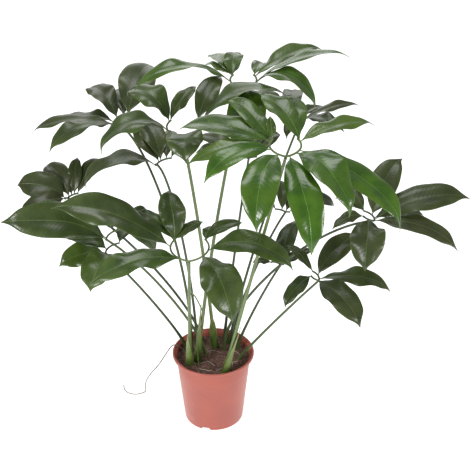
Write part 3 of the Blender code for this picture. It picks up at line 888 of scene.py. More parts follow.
# blades are flattened tubes round their midribs, stalks and ribs are round ones
def buildFrond(maker, given):
    def markedRing(sides):
        place = maker.node("GeometryNodeInputPosition")
        ring = maker.stored(maker.ring(sides), "acrossBlade", maker.part(place, "X"))
        return maker.stored(ring, "bladeFace", maker.part(place, "Y"))

    isBlade = maker.above(maker.named("isBlade"), 0.5)
    split = maker.node("GeometryNodeSeparateGeometry", {"domain": "POINT"},
                       {"Geometry": given["Geometry"], "Selection": isBlade})
    across = maker.named("acrossBlade")
    along = maker.named("bladeAlong")
    half = maker.named("halfWidth")
    seed = maker.named("bladeSeed")
    midrib = maker.named("midrib", "FLOAT_VECTOR")
    width = abs(across)
    # each margin waves in its own way, because the seed and the hand shift its waves
    hand = across.sum("SIGN", across)
    wave = (along * given["Waves"] * 6.2832 + seed * 40.0 + hand * 1.1).sine()
    second = (along * given["Waves"] * 13.1 + seed * 71.0 + hand * 2.3).sine()
    wave = wave + given["Second Wave"] * second
    lively = 0.4 + 1.2 * (seed * 29.0).fraction()
    wave = wave * width * width * half * given["Wave"] * lively * along.ease(0.05, 0.25) * (1.3 - along)
    # the two halves fold up from the midrib and arch over, some blades more than others
    crease = 0.7 + 0.7 * (seed * 13.0).fraction()
    section = half * crease * (given["Fold"] * width - given["Arch"] * width * width)
    bumpy = maker.noise(midrib, given["Pucker Scale"], 1.0) - 0.5
    skin = (1.0 - width ** 6.0).most(0.0) ** 0.5 * given["Thickness"] * 0.5
    sided = (maker.named("bladeFace") * 1000.0).least(1.0).most(-1.0)
    lift = section + wave + bumpy * given["Pucker"] * width * 2.0 + sided * skin
    place = maker.vectorSum(midrib, maker.scaled(maker.named("sideways", "FLOAT_VECTOR"), half * across))
    place = maker.vectorSum(place, maker.scaled(maker.named("upwards", "FLOAT_VECTOR"), lift))
    blade = maker.tube(split.out("Selection"), markedRing(given["Blade Sides"]))
    blade = maker.node("GeometryNodeSetPosition", None, {"Geometry": blade, "Position": place})
    blade = maker.node("GeometryNodeTriangulate", {"quad_method": "SHORTEST_DIAGONAL"}, {"Mesh": blade})
    tubes = maker.tube(split.out("Inverted"), markedRing(given["Stalk Sides"]), maker.named("tubeRadius"))
    joined = maker.node("GeometryNodeJoinGeometry")
    for shape, paint in ((blade, given["Leaf Finish"]), (tubes, given["Stalk Finish"])):
        maker.tree.links.new(maker.painted(shape, paint).socket, joined.socket.node.inputs[0])
    return maker.node("GeometryNodeRealizeInstances", None, {"Geometry": joined})


leafFinish = {
    "old": ((0.020, 0.030, 0.008), (0.046, 0.060, 0.018)),
    "mid": ((0.026, 0.056, 0.007), (0.060, 0.104, 0.022)),
    "young": ((0.022, 0.082, 0.002), (0.056, 0.146, 0.004)),
    "cloud scale": 26.0,
    "dusk": (0.050, 0.044, 0.018),
    "dusk show": 0.35,
    "spring": (0.110, 0.170, 0.016),
    "spring show": 0.38,
    "edge show": (0.08, 0.12),
    "under": ((0.050, 0.075, 0.028), (0.10, 0.20, 0.022)),
    "vein": (0.10, 0.19, 0.030),
    "vein gap": 0.0105,
    "vein slant": 0.75,
    "vein show": 0.11,
    "vein show below": 0.25,
    "margin show": 0.35,
    "midrib": (0.17, 0.29, 0.06),
    "midrib show": (0.24, 0.30),
    "midrib width": 0.0015,
    "midrib core": 0.0004,
    "midrib taper": 0.0004,
    "relief": 0.0005,
    "vein sink": 0.34,
    "midrib sink": 1.4,
    "grain height": 0.04,
    "swell height": 1.6,
    "swell scale": 24.0,
    "grain scale": 300.0,
    "roughness": 0.34,
    "youth gloss": 0.10,
    "coat": (0.04, 0.13),
    "coat roughness": 0.22,
    "specular": 0.44,
}


# leaf skin: cloudy greens that change with age and are painted darker as shade on leaflets turned from
# the light, margins painted paler as a rim light, slanting veins, a pale midrib and a matt underside
def fillLeaf(maker):
    look = leafFinish
    # this value holds the frond's age together with painted shade: leaflets turned from the light read as
    # older and are painted darker
    age = maker.pointValue("leafAge")
    seed = maker.pointValue("bladeSeed")
    along = maker.pointValue("bladeAlong")
    across = maker.pointValue("acrossBlade")
    half = maker.pointValue("halfWidth")
    reach = along * maker.pointValue("bladeLength")
    under = 1.0 - maker.pointValue("bladeFace").ease(-0.12, 0.0)
    onBlade = maker.node("ShaderNodeCombineXYZ", None, {0: reach, 1: across * half, 2: seed * 3.0})
    cloudy = maker.noise(onBlade, look["cloud scale"], 3.0)
    swell = maker.noise(onBlade, look["swell scale"], 0.0)
    grain = maker.noise(maker.place(), look["grain scale"], 2.0)
    patchy = cloudy.ease(0.3, 0.7)
    colour = maker.blend((age * 2.0).least(1.0), maker.blend(patchy, *look["old"]),
                         maker.blend(patchy, *look["mid"]))
    colour = maker.blend((age * 2.0 - 1.0).most(0.0), colour, maker.blend(patchy, *look["young"]))
    dusky = (seed * 7.3).fraction() * look["dusk show"] * (1.0 - age * 0.7)
    colour = maker.blend(dusky, colour, look["dusk"])
    springy = (seed * 11.3).fraction().ease(0.62, 1.0) * age.ease(0.3, 0.6)
    colour = maker.blend(springy * look["spring show"], colour, look["spring"])
    across = abs(across)
    # painted rim light: the blade is painted paler and yellower towards its margins and its tip, more so
    # on young leaflets
    rimLightShow = look["edge show"][0] + look["edge show"][1] * age
    edge = across.ease(0.2, 1.0) * along.ease(0.1, 0.6)
    colour = maker.blend(edge * rimLightShow, colour, look["spring"])
    metres = across * half
    slant = (reach - metres * look["vein slant"]) / look["vein gap"] + (cloudy - 0.5) * 0.5
    ridge = abs(slant.fraction() - 0.5) * 2.0
    vein = ridge.ease(0.80, 1.0)
    midrib = 1.0 - (metres + along * look["midrib taper"]).ease(look["midrib core"], look["midrib width"])
    colour = maker.blend(vein * look["vein show"], colour, look["vein"])
    colour = maker.blend(across.ease(0.93, 0.995) * look["margin show"], colour, look["vein"])
    midribShow = look["midrib show"][0] + look["midrib show"][1] * age
    colour = maker.blend(midrib * midribShow, colour, look["midrib"])
    below = maker.blend(age * 0.8, *look["under"])
    below = maker.blend(vein * look["vein show below"], below, look["vein"])
    rough = look["roughness"] - look["youth gloss"] * age + 0.2 * under
    height = grain * look["grain height"] + swell * look["swell height"]
    height = height - ridge.ease(0.3, 1.0) * look["vein sink"] - midrib * look["midrib sink"]
    return {
        "Base Color": maker.blend(under, colour, below),
        "Roughness": rough + 0.08 * (grain - 0.5) + 0.10 * (cloudy - 0.5),
        "Normal": maker.bump(0.5, look["relief"], height),
        "Coat Weight": look["coat"][0] + look["coat"][1] * age,
        "Coat Roughness": look["coat roughness"],
        "Specular IOR Level": look["specular"],
    }


stalkFinish = {
    "dark": (0.030, 0.050, 0.020),
    "pale": (0.110, 0.162, 0.046),
    "streak": (0.070, 0.108, 0.028),
    "streak scale": 240.0,
    "streak show": 0.5,
    "edge": (0.27, 0.36, 0.12),
    "edge show": 0.35,
    "foot": (0.10, 0.16, 0.035),
    "foot show": 0.45,
    "fleck scale": 420.0,
    "fleck show": 0.22,
    "roughness": 0.36,
    "relief": 0.0006,
}


# stalk skin: dark or pale with lengthwise streaks, lighter edges to its groove, and a greener foot
def fillStalk(maker):
    look = stalkFinish
    palest = maker.pointValue("palest")
    place = maker.place()
    streaks = maker.noise(maker.stretched(place, (1.0, 1.0, 0.12)), look["streak scale"], 3.0)
    flecks = maker.noise(place, look["fleck scale"], 1.0)
    colour = maker.blend(palest, look["dark"], look["pale"])
    colour = maker.blend(streaks.ease(0.4, 0.7) * look["streak show"], colour, look["streak"])
    groove = 1.0 - abs(abs(maker.pointValue("acrossBlade")) - 0.75).ease(0.05, 0.25)
    colour = maker.blend(groove * look["edge show"] * palest, colour, look["edge"])
    low = 1.0 - maker.pointValue("tubeAlong").ease(0.0, 0.12)
    colour = maker.blend(low * look["foot show"], colour, look["foot"])
    colour = maker.blend(flecks.ease(0.60, 0.75) * look["fleck show"], colour, look["dark"])
    return {
        "Base Color": colour,
        "Roughness": look["roughness"] + 0.15 * streaks,
        "Normal": maker.bump(0.4, look["relief"], streaks),
        "Coat Weight": 0.1,
    }


def leafSlot(frond):
    return "young_leaf" if frond["age"] > fineFrond["young from"] else "old_leaf"


settleLeaflets()
print("leaflets settled")
frondInputs["Leaf Finish"] = newPaint("glossyLeaf", leafFinish["young"][1], fillLeaf)
stalkPaint = newPaint("leafStalk", stalkFinish["pale"], fillStalk)
frondInputs["Stalk Finish"] = stalkPaint
frondTree = newGeometryTree("frondGrowth", frondInputs, buildFrond)
for name, frond in fronds.items():
    guide = frondGuides(name, frond)
    piece = grown(name.replace("frond_", "foliage_"), guide, frondTree, frondInputs)
    finished(piece, leafSlot(frond), name)
    print("grown:", piece.name, len(piece.data.polygons), "faces")

# thin sheaths that clasp the feet of the stout stalks
sheathLook = {
    "step": 0.002,
    "clear": 0.0013,
    "wall": 0.0008,
    "spread": 135.0,
    "narrowest": 0.04,
    "narrowing": 1.4,
    "rows": 26,
    "columns": 14,
    "flare": 0.0012,
    "bulge": 0.0042,
    "sink": 0.006,
    "ripple": 0.0004,
}

sheathFinish = {
    "green": (0.075, 0.130, 0.020),
    "pale": (0.170, 0.230, 0.055),
    "deep": (0.045, 0.120, 0.012),
    "deep reach": 0.035,
    "deep show": 0.6,
    "straw": (0.300, 0.270, 0.110),
    "straw reach": (0.06, 0.12),
    "straw show": 0.5,
    "streak scale": 420.0,
    "roughness": 0.42,
    "relief": 0.0006,
}


# a thin closed shell that wraps a stalk's foot and narrows to a point at its top
def makeSheath(name, frond):
    height, opening = frond["sheath"]
    coarse = stalkRoute(frond)
    low = stalkRadii(frond, coarse)[0]
    step = sheathLook["step"]
    route = smoothRoute(coarse[1:], step)
    rows = sheathLook["rows"]
    columns = sheathLook["columns"]
    outer, inner = [], []
    for row in range(rows + 1):
        share = row / rows
        travelled = -sheathLook["sink"] + (height + sheathLook["sink"]) * share
        index = min(len(route) - 2, max(0, int(travelled / step)))
        along = (route[index + 1] - route[index]).normalized()
        middle = route[index] + along * (travelled - index * step)
        side = along.cross(towards(opening)).normalized()
        front = side.cross(along)
        narrow = max(sheathLook["narrowest"], 1 - share ** sheathLook["narrowing"])
        half = math.radians(sheathLook["spread"]) * narrow
        radius = low + sheathLook["clear"] + sheathLook["flare"] * share * share
        radius += sheathLook["bulge"] * (1 - share) ** 1.5
        for column in range(columns + 1):
            angle = math.pi + half * (2 * column / columns - 1)
            way = front * math.cos(angle) + side * math.sin(angle)
            ripple = sheathLook["ripple"] * math.sin(9 * angle + 14 * share)
            outer.append(middle + way * (radius + ripple))
            inner.append(middle + way * (radius + ripple - sheathLook["wall"]))
    count = len(outer)
    wide = columns + 1
    faces = []
    for row in range(rows):
        for column in range(columns):
            a = row * wide + column
            b, c, d = a + 1, a + 1 + wide, a + wide
            faces += [(a, b, c, d), (count + a, count + d, count + c, count + b)]
    rim = [row * wide for row in range(rows)] + [rows * wide + column for column in range(columns)]
    rim += [row * wide + columns for row in range(rows, 0, -1)] + list(range(columns, 0, -1))
    for a, b in zip(rim, rim[1:] + rim[:1]):
        faces.append((a, b, count + b, count + a))
    return newPiece(name, meshFrom(name, outer + inner, faces))


# sheath skin: streaky green, deeper at the foot and straw-coloured towards its tip
def fillSheath(maker):
    look = sheathFinish
    place = maker.place()
    above = maker.part(place, "Z") - soil["height"]
    streaks = maker.noise(maker.stretched(place, (1.0, 1.0, 0.08)), look["streak scale"], 3.0)
    colour = maker.blend(streaks.ease(0.35, 0.7), look["green"], look["pale"])
    low = 1.0 - above.ease(0.0, look["deep reach"])
    colour = maker.blend(low * look["deep show"], colour, look["deep"])
    tip = above.ease(*look["straw reach"])
    colour = maker.blend(tip * look["straw show"], colour, look["straw"])
    return {
        "Base Color": colour,
        "Roughness": look["roughness"] + 0.2 * streaks,
        "Normal": maker.bump(0.5, look["relief"], streaks),
    }


sheathPaint = newPaint("leafSheath", sheathFinish["pale"], fillSheath)
for name, frond in fronds.items():
    if frond["sheath"]:
        piece = makeSheath(name.replace("frond_", "sheath_"), frond)
        piece.data.materials.append(sheathPaint)
        finished(piece, leafSlot(frond))
print("sheaths wrapped")

# the pot, turned from a rounded profile, with its drain notches cut in
potLook = {
    "sides": 128,
    "rounding": 5,
    "foot round": 0.003,
    "neck round": 0.003,
    "hem round": 0.0015,
    "lip round": 0.0025,
    "mouth round": 0.0020,
    "floor round": 0.003,
    "wall heights": (0.03, 0.07, 0.11, 0.15),
    "inner heights": (0.1, 0.006),
    "shoulder": 0.014,
    "shoulder depth": 0.0006,
    "shoulder slope": 0.002,
    "neck drop": 0.004,
    "notches": 3,
    "notch heading": -105.0,
    "notch radius": 0.0125,
    "notch height": 0.011,
    "notch reach": (-0.010, 0.012),
    "notch sides": 32,
    "sharp": 35,
}

potFinish = {
    "clay": (0.430, 0.106, 0.075),
    "dull": (0.390, 0.100, 0.074),
    "mottle scale": 16.0,
    "deep": (0.330, 0.078, 0.055),
    "drawn scale": 150.0,
    "drawn show": 0.25,
    "dust": (0.60, 0.34, 0.28),
    "splash scale": 60.0,
    "splash height": 0.06,
    "splash show": 0.35,
    "grain scale": 900.0,
    "roughness": 0.33,
    "relief": 0.0004,
}


# a closed profile turned round Z; its first and last points lie on the axis
def turnedShape(profile, sides):
    vertices = [Vector((0.0, 0.0, profile[0][1]))]
    for radius, height in profile[1:-1]:
        for side in range(sides):
            angle = 2 * math.pi * side / sides
            vertices.append(Vector((radius * math.cos(angle), radius * math.sin(angle), height)))
    vertices.append(Vector((0.0, 0.0, profile[-1][1])))
    last = len(vertices) - 1
    rings = len(profile) - 2
    faces = []
    for side in range(sides):
        after = (side + 1) % sides
        faces.append((0, 1 + after, 1 + side))
        for ring in range(rings - 1):
            low = 1 + ring * sides
            high = low + sides
            faces.append((low + side, low + after, high + after, high + side))
        top = 1 + (rings - 1) * sides
        faces.append((last, top + side, top + after))
    return vertices, faces


# a quarter round of a profile, from its centre, between two directions in degrees
def cornerRound(across, height, radius, start, end):
    count = potLook["rounding"]
    points = []
    for index in range(count + 1):
        angle = math.radians(start + (end - start) * index / count)
        points.append((across + radius * math.cos(angle), height + radius * math.sin(angle)))
    return points


def outerRadius(height):
    share = height / (pot["height"] - pot["lipHeight"])
    return pot["baseRadius"] + (pot["bodyTopRadius"] - pot["baseRadius"]) * share


def innerRadius(height):
    share = (height - pot["floor"]) / (pot["height"] - pot["lipHeight"] - pot["floor"])
    low = pot["baseRadius"] - pot["wall"]
    high = pot["bodyTopRadius"] - pot["wall"]
    return low + (high - low) * share


def makePotShape():
    top = pot["height"]
    under = top - pot["lipHeight"]
    rim = pot["rimRadius"]
    mouth = rim - pot["lipWidth"]
    shoulder = under - potLook["shoulder"]
    foot, neck, hem, lip, inside, low = [
        potLook[part + " round"] for part in ("foot", "neck", "hem", "lip", "mouth", "floor")]
    profile = [(0.0, 0.0)] + cornerRound(pot["baseRadius"] - foot, foot, foot, -90, 0)
    for height in (*potLook["wall heights"], shoulder - potLook["shoulder slope"]):
        profile.append((outerRadius(height), height))
    for height in (shoulder, under - potLook["neck drop"]):
        profile.append((outerRadius(height) - potLook["shoulder depth"], height))
    profile += cornerRound(outerRadius(under) + neck, under - neck, neck, 180, 90)
    profile += cornerRound(rim - hem, under + hem, hem, -90, 0)
    profile += cornerRound(rim - lip, top - lip, lip, 0, 90)
    profile += cornerRound(mouth + inside, top - inside, inside, 90, 180)
    for height in (under, *potLook["inner heights"]):
        profile.append((innerRadius(height), height))
    profile += [(innerRadius(pot["floor"]) - low, pot["floor"]), (0.0, pot["floor"])]
    piece = newPiece("pot_body", meshFrom("pot_body", *turnedShape(profile, potLook["sides"])))
    for index in range(potLook["notches"]):
        out = towards(potLook["notch heading"] + 360 / potLook["notches"] * index)
        drop = Vector((0.0, 0.0, potLook["notch height"] - potLook["notch radius"]))
        ends = [out * (pot["baseRadius"] + reach) + drop for reach in potLook["notch reach"]]
        shape = tubeShape(ends, [potLook["notch radius"]] * 2, potLook["notch sides"])
        cutter = newPiece("cutter", meshFrom("cutter", *shape))
        step = piece.modifiers.new("notch", "BOOLEAN")
        step.operation = "DIFFERENCE"
        step.solver = "EXACT"
        step.object = cutter
        piece.data = meshAfter(piece)
        bpy.data.objects.remove(cutter, do_unlink=True)
    return piece


# clay-coloured plastic: a little mottled, faintly drawn round, and dusty where water splashes it
def fillPot(maker):
    look = potFinish
    place = maker.place()
    mottle = maker.noise(place, look["mottle scale"], 4.0)
    grain = maker.noise(place, look["grain scale"], 2.0)
    drawn = maker.noise(maker.stretched(place, (0.15, 0.15, 1.0)), look["drawn scale"], 3.0)
    splash = maker.noise(place, look["splash scale"], 5.0)
    colour = maker.blend(mottle.ease(0.35, 0.7), look["clay"], look["dull"])
    colour = maker.blend(drawn.ease(0.5, 0.8) * look["drawn show"], colour, look["deep"])
    low = 1.0 - maker.part(place, "Z").ease(0.0, look["splash height"])
    dusty = splash.ease(0.58, 0.75) * low * look["splash show"]
    return {
        "Base Color": maker.blend(dusty, colour, look["dust"]),
        "Roughness": look["roughness"] + 0.12 * (mottle - 0.5) + 0.15 * dusty,
        "Normal": maker.bump(0.25, look["relief"], grain * 0.25 + drawn * 0.5),
    }


potPiece = makePotShape()
potPiece.data.materials.append(newPaint("terracottaPlastic", potFinish["clay"], fillPot))
smoothed(potPiece, potLook["sharp"])
placed(potPiece, "terracotta_plastic", "pot")
print("pot turned:", len(potPiece.data.polygons), "faces")

# the soil: a rumpled bed, with crumbs, pale grit and bark strewn over it
soilLook = {
    "rings": 40,
    "sides": 96,
    "floor round": 0.0034,
    "lumps": 0.0016,
    "lump scale": 160,
    "sharp": 60,
    "level": 0.35,
    "jitter": 0.28,
    "whole turn": 6.283,
    "jitter seed": 3,
    "turn seed": 11,
    "size seed": 23,
}

soilFinish = {
    "dark": (0.040, 0.022, 0.018),
    "brown": (0.150, 0.078, 0.062),
    "warm": (0.280, 0.150, 0.115),
    "grit": (0.62, 0.56, 0.47),
    "bark": (0.210, 0.105, 0.070),
    "lump scale": 60.0,
    "fibre scale": 420.0,
    "fibre show": 0.6,
    "speckle scale": 700.0,
    "relief": 0.002,
    "crumb relief": 0.0008,
}

# each kind of crumb: how many a square metre, its sizes, its paint, and the two tones it lies between
strewnKinds = {
    "soil_crumbs": {
        "inputs": {"Density": 190000.0, "Seed": 7, "Smallest": (0.00078,) * 3, "Largest": (0.0026,) * 3},
        "paint": ("soilCrumb", "brown"),
        "tones": ("dark", "warm"),
    },
    "soil_grit": {
        "inputs": {"Density": 26000.0, "Seed": 8, "Smallest": (0.00065,) * 3, "Largest": (0.0013,) * 3},
        "paint": ("paleGrit", "grit"),
        "tones": ("warm", "grit"),
    },
    "soil_bark": {
        "inputs": {"Density": 18000.0, "Seed": 9, "Smallest": (0.00126, 0.00063, 0.00042),
                   "Largest": (0.00546, 0.0021, 0.00105)},
        "paint": ("barkChip", "bark"),
        "tones": ("dark", "bark"),
    },
}


def soilTop(x, y):
    broad = math.sin(38 * x + 1.3) * math.cos(33 * y - 0.6)
    fine = math.sin(91 * x - 0.4) * math.sin(83 * y + 1.1)
    return soil["height"] + soil["relief"] * (broad + soil["fineShare"] * fine)


# a closed bed: a fine rumpled top on a plain skirt and floor
def makeSoilBed():
    edge = innerRadius(soil["height"]) - soil["gap"]
    bottom = pot["floor"] + soil["gap"]
    profile = [(0.0, bottom), (innerRadius(bottom) - soilLook["floor round"], bottom)]
    rings = soilLook["rings"]
    profile += [(edge * (rings - ring) / rings, soil["height"]) for ring in range(rings)]
    profile.append((0.0, soil["height"]))
    vertices, faces = turnedShape(profile, soilLook["sides"])
    for vertex in vertices:
        reach = math.hypot(vertex.x, vertex.y)
        if vertex.z > soil["height"] / 2 and reach < edge - soil["gap"]:
            spot = Vector((vertex.x, vertex.y, 0.3)) * soilLook["lump scale"]
            lump = noise.fractal(spot, 0.8, 2.1, 3)
            vertex.z = soilTop(vertex.x, vertex.y) + soilLook["lumps"] * (lump - 0.4)
    return newPiece("soil_bed", meshFrom("soil_bed", vertices, faces))


# strews small shapes of one kind over a bed
def buildStrewn(maker, given):
    level = maker.above(maker.part(maker.node("GeometryNodeInputNormal"), "Z"), soilLook["level"])
    spots = maker.node("GeometryNodeDistributePointsOnFaces", {"distribute_method": "RANDOM"},
                       {"Mesh": given["Geometry"], "Selection": level, "Density": given["Density"],
                        "Seed": given["Seed"]})
    ball = maker.node("GeometryNodeMeshIcoSphere", None, {"Radius": 1.0, "Subdivisions": 1})
    far = soilLook["jitter"]
    jitter = maker.scatter((-far,) * 3, (far,) * 3, soilLook["jitter seed"])
    turn = maker.scatter((0.0,) * 3, (soilLook["whole turn"],) * 3, soilLook["turn seed"])
    size = maker.scatter(given["Smallest"], given["Largest"], soilLook["size seed"])
    rough = maker.node("GeometryNodeSetPosition", None, {"Geometry": ball, "Offset": jitter})
    strewn = maker.node("GeometryNodeInstanceOnPoints", None,
                        {"Points": spots, "Instance": rough, "Rotation": turn, "Scale": size})
    whole = maker.node("GeometryNodeRealizeInstances", None, {"Geometry": strewn})
    tone = maker.node("ShaderNodeTexWhiteNoise", {"noise_dimensions": "1D"},
                      {"W": maker.node("GeometryNodeInputMeshIsland")})
    return maker.painted(maker.stored(whole, "crumbTone", tone), given["Finish"])


def fillSoil(maker):
    look = soilFinish
    place = maker.place()
    coarse = maker.noise(place, look["lump scale"], 4.0)
    fibres = maker.noise(place, look["fibre scale"], 3.0)
    colour = maker.blend(coarse.ease(0.35, 0.65), look["dark"], look["brown"])
    return {
        "Base Color": maker.blend(fibres.ease(0.55, 0.75) * look["fibre show"], colour, look["warm"]),
        "Roughness": 0.86 + 0.1 * fibres,
        "Normal": maker.bump(0.9, look["relief"], fibres + coarse),
    }


# a filler for one kind of crumb, whose tones lie between two colours
def crumbFill(first, second):
    def fill(maker):
        speckle = maker.noise(maker.place(), soilFinish["speckle scale"], 2.0)
        tone = maker.pointValue("crumbTone") * 0.8 + speckle * 0.4
        return {
            "Base Color": maker.blend(tone.least(1.0), soilFinish[first], soilFinish[second]),
            "Roughness": 0.8 + 0.15 * speckle,
            "Normal": maker.bump(0.5, soilFinish["crumb relief"], speckle),
        }
    return fill


bed = makeSoilBed()
smoothed(bed, soilLook["sharp"])
for kind in strewnKinds.values():
    paint, tone = kind["paint"]
    kind["inputs"]["Finish"] = newPaint(paint, soilFinish[tone], crumbFill(*kind["tones"]))
strewnTree = newGeometryTree("strewnSoil", strewnKinds["soil_crumbs"]["inputs"], buildStrewn)
for name, kind in strewnKinds.items():
    piece = grown(name, newPiece("strewn_start", bed.data.copy()), strewnTree, kind["inputs"])
    placed(piece, "potting_soil")
    print("strewn:", name, len(piece.data.polygons), "faces")
bed.data.materials.append(newPaint("pottingSoil", soilFinish["brown"], fillSoil))
placed(bed, "potting_soil", "soil")

# thin roots: the long one over the rim, and short pale ones that lie on the soil
rootLook = {
    "radius": 0.0017,
    "taper": 0.35,
    "pale from": 0.45,
    "step": 0.003,
    "knot scale": 190.0,
    "short radius": 0.0011,
    "short steps": 16,
    "short lift": 0.0004,
    "short arc": 0.0012,
    "short waver": 0.0012,
    "short pale": 0.95,
    "strand radius": 0.0019,
    "strand pale": 0.9,
}

rootFinish = {
    "bark": (0.070, 0.055, 0.045),
    "pale": (0.170, 0.140, 0.115),
    "tip": (0.48, 0.42, 0.34),
    "tip show": 0.8,
    "patch scale": 130.0,
    "roughness": 0.7,
    "relief": 0.0006,
}

# The aerial root leaves the soil, lies over the rim and ends curled on the ground.
aerialRootRoute = [
    (-0.058, 0.008, 0.160),
    (-0.072, 0.012, 0.186),
    (-0.086, 0.016, 0.200),
    (-0.097, 0.019, 0.2030),
    (-0.108, 0.023, 0.1985),
    (-0.125, 0.030, 0.168),
    (-0.146, 0.040, 0.126),
    (-0.170, 0.064, 0.080),
    (-0.184, 0.080, 0.046),
    (-0.190, 0.090, 0.020),
    (-0.190, 0.086, 0.0034),
    (-0.202, 0.078, 0.0018),
    (-0.218, 0.074, 0.0018),
    (-0.236, 0.080, 0.0018),
    (-0.248, 0.094, 0.0018),
    (-0.253, 0.116, 0.0018),
]

# short roots on the soil, each from a point to a point with a bow to its side
surfaceRoots = [
    ((-0.030, -0.030), (0.004, -0.040), 0.006),
    ((-0.034, -0.052), (-0.004, -0.058), -0.005),
    ((-0.022, 0.014), (0.020, 0.010), 0.008),
    ((0.040, 0.020), (0.072, 0.006), 0.006),
    ((0.030, -0.020), (0.058, -0.028), -0.005),
    ((-0.070, -0.012), (-0.046, -0.040), 0.007),
    ((0.010, -0.062), (0.040, -0.050), 0.004),
    ((0.048, -0.046), (0.064, -0.022), 0.005),
]

# a thin strand that peels off the front centre stalk and curls down to the soil
strandRoute = [
    (-0.0490, -0.172, 0.492),
    (-0.0440, -0.160, 0.476),
    (-0.0350, -0.140, 0.449),
    (-0.0240, -0.116, 0.404),
    (-0.0205, -0.104, 0.380),
    (-0.0230, -0.090, 0.352),
    (-0.0290, -0.078, 0.325),
    (-0.0380, -0.062, 0.289),
    (-0.0390, -0.050, 0.240),
    (-0.0350, -0.044, 0.176),
]


# knotty tubes along the guide lines
def buildRoots(maker, given):
    bumpy = maker.noise(maker.node("GeometryNodeInputPosition"), rootLook["knot scale"], 2.0)
    thick = maker.named("tubeRadius") * (1.0 - given["Knots"] * bumpy)
    tube = maker.tube(given["Geometry"], maker.ring(given["Sides"]), thick)
    tube = maker.node("GeometryNodeRealizeInstances", None, {"Geometry": tube})
    return maker.painted(tube, given["Finish"])


def fillRoot(maker):
    look = rootFinish
    patches = maker.noise(maker.place(), look["patch scale"], 4.0)
    colour = maker.blend(patches.ease(0.35, 0.7), look["bark"], look["pale"])
    return {
        "Base Color": maker.blend(maker.pointValue("tubeAlong") * look["tip show"], colour, look["tip"]),
        "Roughness": look["roughness"] + 0.2 * patches,
        "Normal": maker.bump(0.6, look["relief"], patches),
    }


# points of a short root that lies on the soil, wavers a little and lifts in its middle
def surfaceRoute(start, end, bow):
    start = Vector((*start, 0.0))
    end = Vector((*end, 0.0))
    side = Vector((start.y - end.y, end.x - start.x, 0.0)).normalized()
    points = []
    for index in range(rootLook["short steps"] + 1):
        share = index / rootLook["short steps"]
        middle = math.sin(math.pi * share)
        waver = rootLook["short waver"] * math.sin(9 * share + start.x * 90)
        point = start.lerp(end, share) + side * (bow * middle + waver)
        lift = rootLook["short lift"] + rootLook["short arc"] * middle
        points.append(Vector((point.x, point.y, soilTop(point.x, point.y) + lift)))
    return points


rootInputs = {"Sides": 10, "Knots": 0.22, "Finish": newPaint("rootBark", rootFinish["bark"], fillRoot)}
rootTree = newGeometryTree("rootTubes", rootInputs, buildRoots)
guides = Guides()
route = smoothRoute(aerialRootRoute, rootLook["step"])
shares = [index / (len(route) - 1) for index in range(len(route))]
guides.add(route, tubeRadius=[rootLook["radius"] * (1 - rootLook["taper"] * share) for share in shares],
           tubeAlong=[max(0.0, share - rootLook["pale from"]) for share in shares])
longRoot = grown("aerial_root_bark", guides.finished(), rootTree, rootInputs)
finished(longRoot, "aerial_root_bark", "aerial_root")

guides = Guides()
for start, end, bow in surfaceRoots:
    guides.add(surfaceRoute(start, end, bow), tubeRadius=rootLook["short radius"],
               tubeAlong=rootLook["short pale"])
finished(grown("soil_roots", guides.finished(), rootTree, rootInputs), "aerial_root_bark")

guides = Guides()
guides.add(smoothRoute(strandRoute, rootLook["step"]), tubeRadius=rootLook["strand radius"],
           tubeAlong=1.0, palest=rootLook["strand pale"])
rootInputs["Finish"] = stalkPaint
finished(grown("loose_strand", guides.finished(), rootTree, rootInputs), "old_leaf")
print("roots laid")

# floor, lights and camera
stageLook = {
    "floor": (0.93, 0.93, 0.93),
    "floor drop": 0.0002,
    "floor corners": ((-9, -6), (9, -6), (9, 12), (-9, 12)),
    "floor glow": 0.72,
    "backdrop": 1.0,
    "room light": 0.34,
    "aim": (0.05, 0.0, 0.5),
    "camera": (0.056, -2.123, 1.707),
    "pitch": 28.8,
    "focal": 1003.0,
    "pixels": 470,
    "sensor": 36.0,
}

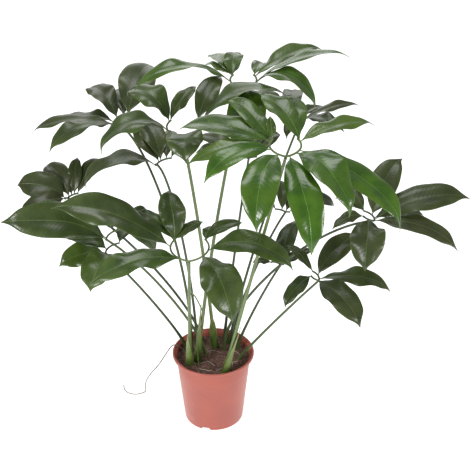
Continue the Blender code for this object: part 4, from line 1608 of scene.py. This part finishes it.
lamps = [
    {"name": "keyPanel", "place": (-1.7, -1.7, 1.6), "size": 0.7, "power": 34.0},
    {"name": "fillPanel", "place": (2.0, -1.6, 1.4), "size": 0.6, "power": 24.0},
    {"name": "topPanel", "place": (-0.2, 0.2, 2.7), "size": 0.9, "power": 14.0},
    {"name": "backPanel", "place": (-0.3, 2.4, 1.9), "size": 1.7, "power": 15.0},
]


def fillFloor(maker):
    drift = maker.noise(maker.place(), 1.5, 2.0)
    pale = stageLook["floor"]
    return {
        "Base Color": maker.blend(drift * 0.3, pale, tuple(part * 0.98 for part in pale)),
        "Roughness": 0.9,
        "Specular IOR Level": 0.1,
        "Emission Color": (*pale, 1.0),
        "Emission Strength": stageLook["floor glow"],
    }


corners = [Vector((x, y, -stageLook["floor drop"])) for x, y in stageLook["floor corners"]]
floor = newPiece("studio_floor", meshFrom("studio_floor", corners, [(0, 1, 2, 3)]))
floor.data.materials.append(newPaint("paperFloor", stageLook["floor"], fillFloor))

# the room is dimmer than the white backdrop that the camera sees
world = bpy.data.worlds.new("studio")
world.use_nodes = True
worldMaker = NodeMaker(world.node_tree)
seen = worldMaker.node("ShaderNodeLightPath")
glow = stageLook["room light"] + seen * (stageLook["backdrop"] - stageLook["room light"])
backdrop = world.node_tree.nodes["Background"]
backdrop.inputs["Color"].default_value = (1.0, 1.0, 1.0, 1.0)
world.node_tree.links.new(glow.socket, backdrop.inputs["Strength"])
bpy.context.scene.world = world
for lamp in lamps:
    light = bpy.data.lights.new(lamp["name"], "AREA")
    light.energy = lamp["power"]
    light.size = lamp["size"]
    holder = bpy.data.objects.new(lamp["name"], light)
    holder.location = lamp["place"]
    aim = Vector(stageLook["aim"]) - Vector(lamp["place"])
    holder.rotation_euler = aim.to_track_quat("-Z", "Y").to_euler()
    bpy.context.scene.collection.objects.link(holder)

camera = bpy.data.objects.new("photoCamera", bpy.data.cameras.new("photoCamera"))
camera.location = stageLook["camera"]
camera.rotation_euler = (math.radians(90 - stageLook["pitch"]), 0.0, 0.0)
camera.data.sensor_width = stageLook["sensor"]
camera.data.lens = stageLook["sensor"] * stageLook["focal"] / stageLook["pixels"]
bpy.context.scene.collection.objects.link(camera)
bpy.context.scene.camera = camera
bpy.context.scene.view_settings.view_transform = "Standard"
print("stage set")
